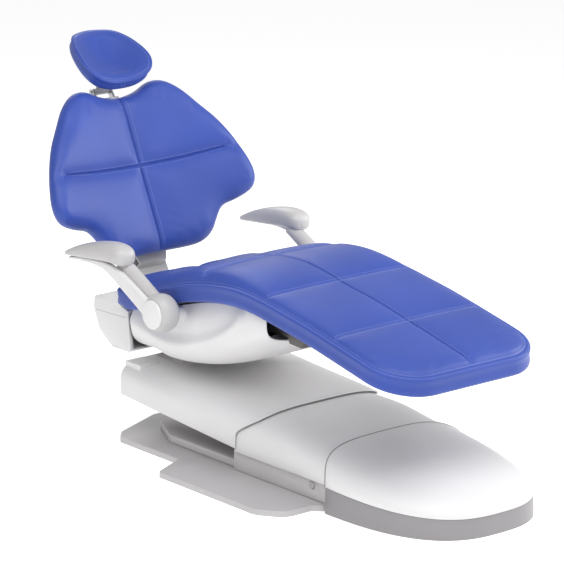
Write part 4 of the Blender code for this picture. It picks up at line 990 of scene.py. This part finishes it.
def make_arm(side, sign):
    """Flat outer blade and round inner tube, both growing out of a ball at the pivot."""
    body = "armrest_" + side
    around = np.linspace(0.0, 2 * math.pi, 33)[:-1]
    blade_line = ((-0.085, 0.412, 0.024), (-0.030, 0.4405, 0.0215), (0.050, 0.4800, 0.0185),
                  (0.100, 0.4985, 0.0120), (0.150, 0.5030, 0.0070), (0.220, 0.5000, 0.0042),
                  (0.272, 0.4935, 0.0028))
    tube_line = ((-0.090, 0.4240, 0.0225), (-0.030, 0.4570, 0.0210), (0.030, 0.4900, 0.0200),
                 (0.075, 0.5120, 0.0170))

    def blade(tall):
        c, s = superellipse(around, 5.0)
        return sign * 0.3220 + 0.0090 * c, tall * s

    def tube_section(radius):
        return sign * 0.2935 + 0.0205 * np.cos(around), radius * np.sin(around)
    swept("arm_blade_" + side, blade_line, blade, GREY_LIGHT, body, "armrest_bar_" + side)
    swept("arm_tube_" + side, tube_line, tube_section, GREY, body)
    # the ball, turned about the pivot: (outward, radius)
    profile = catmull(((-0.0370, 0.0180), (-0.0350, 0.0300), (-0.0290, 0.0400), (-0.0180, 0.0485),
                       (-0.0040, 0.0520), (0.0110, 0.0515), (0.0220, 0.0475), (0.0285, 0.0430),
                       (0.0300, 0.0400)), 4)
    turn = np.linspace(0.0, 2 * math.pi, 65)[:-1]
    rows = [np.stack([np.full(len(turn), sign * (0.300 + out)), HUB_Y + radius * np.cos(turn),
                      HUB_Z + radius * np.sin(turn)], 1) for out, radius in profile]
    tidy_normals(piece("arm_hub_" + side, *capped(rows), GREY, body, "grey_plastic"), 50)


for SIDE, SIGN in SIDES:
    make_arm(SIDE, SIGN)


def make_flap(side, sign):
    """Upholstered tab that stands, slightly domed, on the seat's side at the hip."""
    outline = ((0.146, 0.420), (0.140, 0.398), (0.130, 0.383), (0.101, 0.374), (0.060, 0.379),
               (0.030, 0.393), (0.018, 0.410), (0.040, 0.428), (0.100, 0.424))
    ring = catmull(outline + outline[:1], 6)[:-1]
    middle = ring.mean(0)
    rows = []
    # (size of the ring, how far it stands out from the seat's side)
    for scale, out in ((0.97, -0.016), (1.0, -0.012), (1.0, -0.003), (0.97, 0.0005),
                       (0.90, 0.0015), (0.45, 0.0022)):
        flat = middle + (ring - middle) * scale
        rows.append(np.stack([np.full(len(ring), sign * (SEAT_HALF + out)), flat[:, 0],
                              flat[:, 1]], 1))
    tidy_normals(piece("seat_flap_" + side, *capped(rows), VINYL, "seat", "upholstery"), 60)


def make_parting(side, sign):
    """Fine joint between the two halves of the housing behind the seat."""
    across = sign * (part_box("hip_cover")[1].x - 0.0004)
    line = [(across, 0.285, 0.3285), (across, 0.230, 0.3300), (across, 0.150, 0.3330)]
    tube("hip_joint_" + side, line, 0.0007, TRIM, "seat", "grey_plastic", closed=False)


def make_back_neck():
    """Pressed neck between the hip and the back shell, with folded edges."""
    path = catmull(((0.338, 0.372), (0.350, 0.392), (0.372, 0.430), (0.392, 0.470),
                    (0.408, 0.505), (0.426, 0.545)), 5)
    run = unit(np.gradient(path, axis=0))
    half, thick, lip = 0.064, 0.0055, 0.010
    section = ((-half, -thick), (-half, lip), (-half + 0.004, lip), (-half + 0.006, 0.001),
               (0.0, -0.001), (half - 0.006, 0.001), (half - 0.004, lip), (half, lip),
               (half, -thick), (0.0, -thick))
    rows = [[(across, y + run_z * off, z - run_y * off) for across, off in section]
            for (y, z), (run_y, run_z) in zip(path, run)]
    made = piece("back_neck", *capped(rows), GREY, "backrest", "grey_plastic")
    tidy_normals(made, 40)
    soften(made, 0.0015, RIM_ANGLE)


for SIDE, SIGN in SIDES:
    make_flap(SIDE, SIGN)
    make_parting(SIDE, SIGN)
make_back_neck()


# -------------------- carried-over nodes
REPLACED = {"seat_cushion", "back_cushion", "headrest_cushion", "toe_cover", "toe_trim",
            "mid_cover", "lift_cover", "seat_cover", "armrest_pad_left", "armrest_pad_right",
            "armrest_bar_left", "armrest_bar_right"}
# bevels other than the usual small one
SOFT_EDGES = {"base_plate": 0.003, "base_casting": 0.003, "hip_cover": 0.0,
              "rear_cap_left": 0.002, "rear_cap_right": 0.002, "knee_bracket": 0.002,
              "back_support": 0.001}
SMALL_EDGE = 0.0008                  # bevel of every other node
NODE_ANGLE = math.radians(36)


def dress_nodes():
    """Procedural materials and softened edges on the CAD nodes that show as they are."""
    for name, made in NODES.items():
        if name in REPLACED:
            continue
        look = SLOT_LOOKS[made.data.materials[0].name.split(".")[0]]
        if name == "base_plate":
            look = PLATE
        made.data.materials.clear()
        made.data.materials.append(look)
        modifier(made, "WELD", merge_threshold=0.00002)
        width = SOFT_EDGES.get(name, SMALL_EDGE)
        if width:
            soften(made, width, NODE_ANGLE)
        made.data.shade_smooth()
        made.data.set_sharp_from_angle(angle=NODE_ANGLE)


dress_nodes()


# -------------------- studio
FLOOR_HALF, FLOOR_Z = 30.0, -0.0006
WORLD_STRENGTH = 0.46
# name, place, aim, side of the square in metres, power in watts
LAMPS = (("top_softbox", (-0.4, -1.7, 3.3), (0.0, -0.5, 0.3), 2.2, 62.0),
         ("key_softbox", (-2.5, -1.0, 3.1), (0.0, -0.4, 0.2), 1.6, 24.0),
         ("front_softbox", (-2.2, -4.4, 2.3), (0.0, -0.7, 0.2), 2.0, 17.0),
         ("far_softbox", (3.2, -1.7, 1.9), (0.0, -0.6, 0.15), 2.0, 76.0),
         ("rear_softbox", (1.6, 3.0, 2.4), (0.0, 0.2, 0.6), 1.6, 22.0))
CAMERA_PLACE = (-5.814, -7.243, 2.928)
CAMERA_AIM = (0.0, -0.21, 0.4725)


def turned(where, aim):
    """Rotation of a lamp or camera that looks from a place at an aim."""
    return (Vector(aim) - Vector(where)).to_track_quat("-Z", "Y").to_euler()


def make_floor():
    mesh = bpy.data.meshes.new("floor")
    corners = ((-1, -1), (1, -1), (1, 1), (-1, 1))
    mesh.from_pydata([(x * FLOOR_HALF, y * FLOOR_HALF, FLOOR_Z) for x, y in corners], [],
                     [(0, 1, 2, 3)])
    made, tree, shader, place = start_material("studio_floor", (0.93, 0.93, 0.93), 0.75)
    faint = texture(tree, "ShaderNodeTexNoise", place, 0.6, Detail=2.0)
    tree.links.new(tint(tree, faint.outputs["Fac"], (0.925, 0.925, 0.925), (0.94, 0.94, 0.94)),
                   shader.inputs["Base Color"])
    shader.inputs["Specular IOR Level"].default_value = 0.1
    shader.inputs["Emission Color"].default_value = (1.0, 1.0, 1.0, 1.0)
    shader.inputs["Emission Strength"].default_value = 0.50
    mesh.materials.append(made)
    floor = bpy.data.objects.new("floor", mesh)
    bpy.context.scene.collection.objects.link(floor)


def make_studio():
    scene = bpy.context.scene
    world = bpy.data.worlds.new("studio")
    world.use_nodes = True
    back = world.node_tree.nodes["Background"]
    back.inputs["Color"].default_value = (1.0, 1.0, 1.0, 1.0)
    back.inputs["Strength"].default_value = WORLD_STRENGTH
    scene.world = world
    scene.view_settings.view_transform = "Standard"

    for name, where, aim, size, power in LAMPS:
        data = bpy.data.lights.new(name, "AREA")
        data.shape = "SQUARE"
        data.size = size
        data.energy = power
        lamp = bpy.data.objects.new(name, data)
        lamp.location = where
        lamp.rotation_euler = turned(where, aim)
        scene.collection.objects.link(lamp)

    lens = bpy.data.cameras.new("camera")
    lens.lens = 226.0
    lens.sensor_width = 36.0
    lens.shift_x = 0.0113
    lens.shift_y = -0.0028
    camera = bpy.data.objects.new("camera", lens)
    camera.location = CAMERA_PLACE
    camera.rotation_euler = turned(CAMERA_PLACE, CAMERA_AIM)
    scene.collection.objects.link(camera)
    scene.camera = camera


make_floor()
make_studio()

bpy.context.view_layer.update()
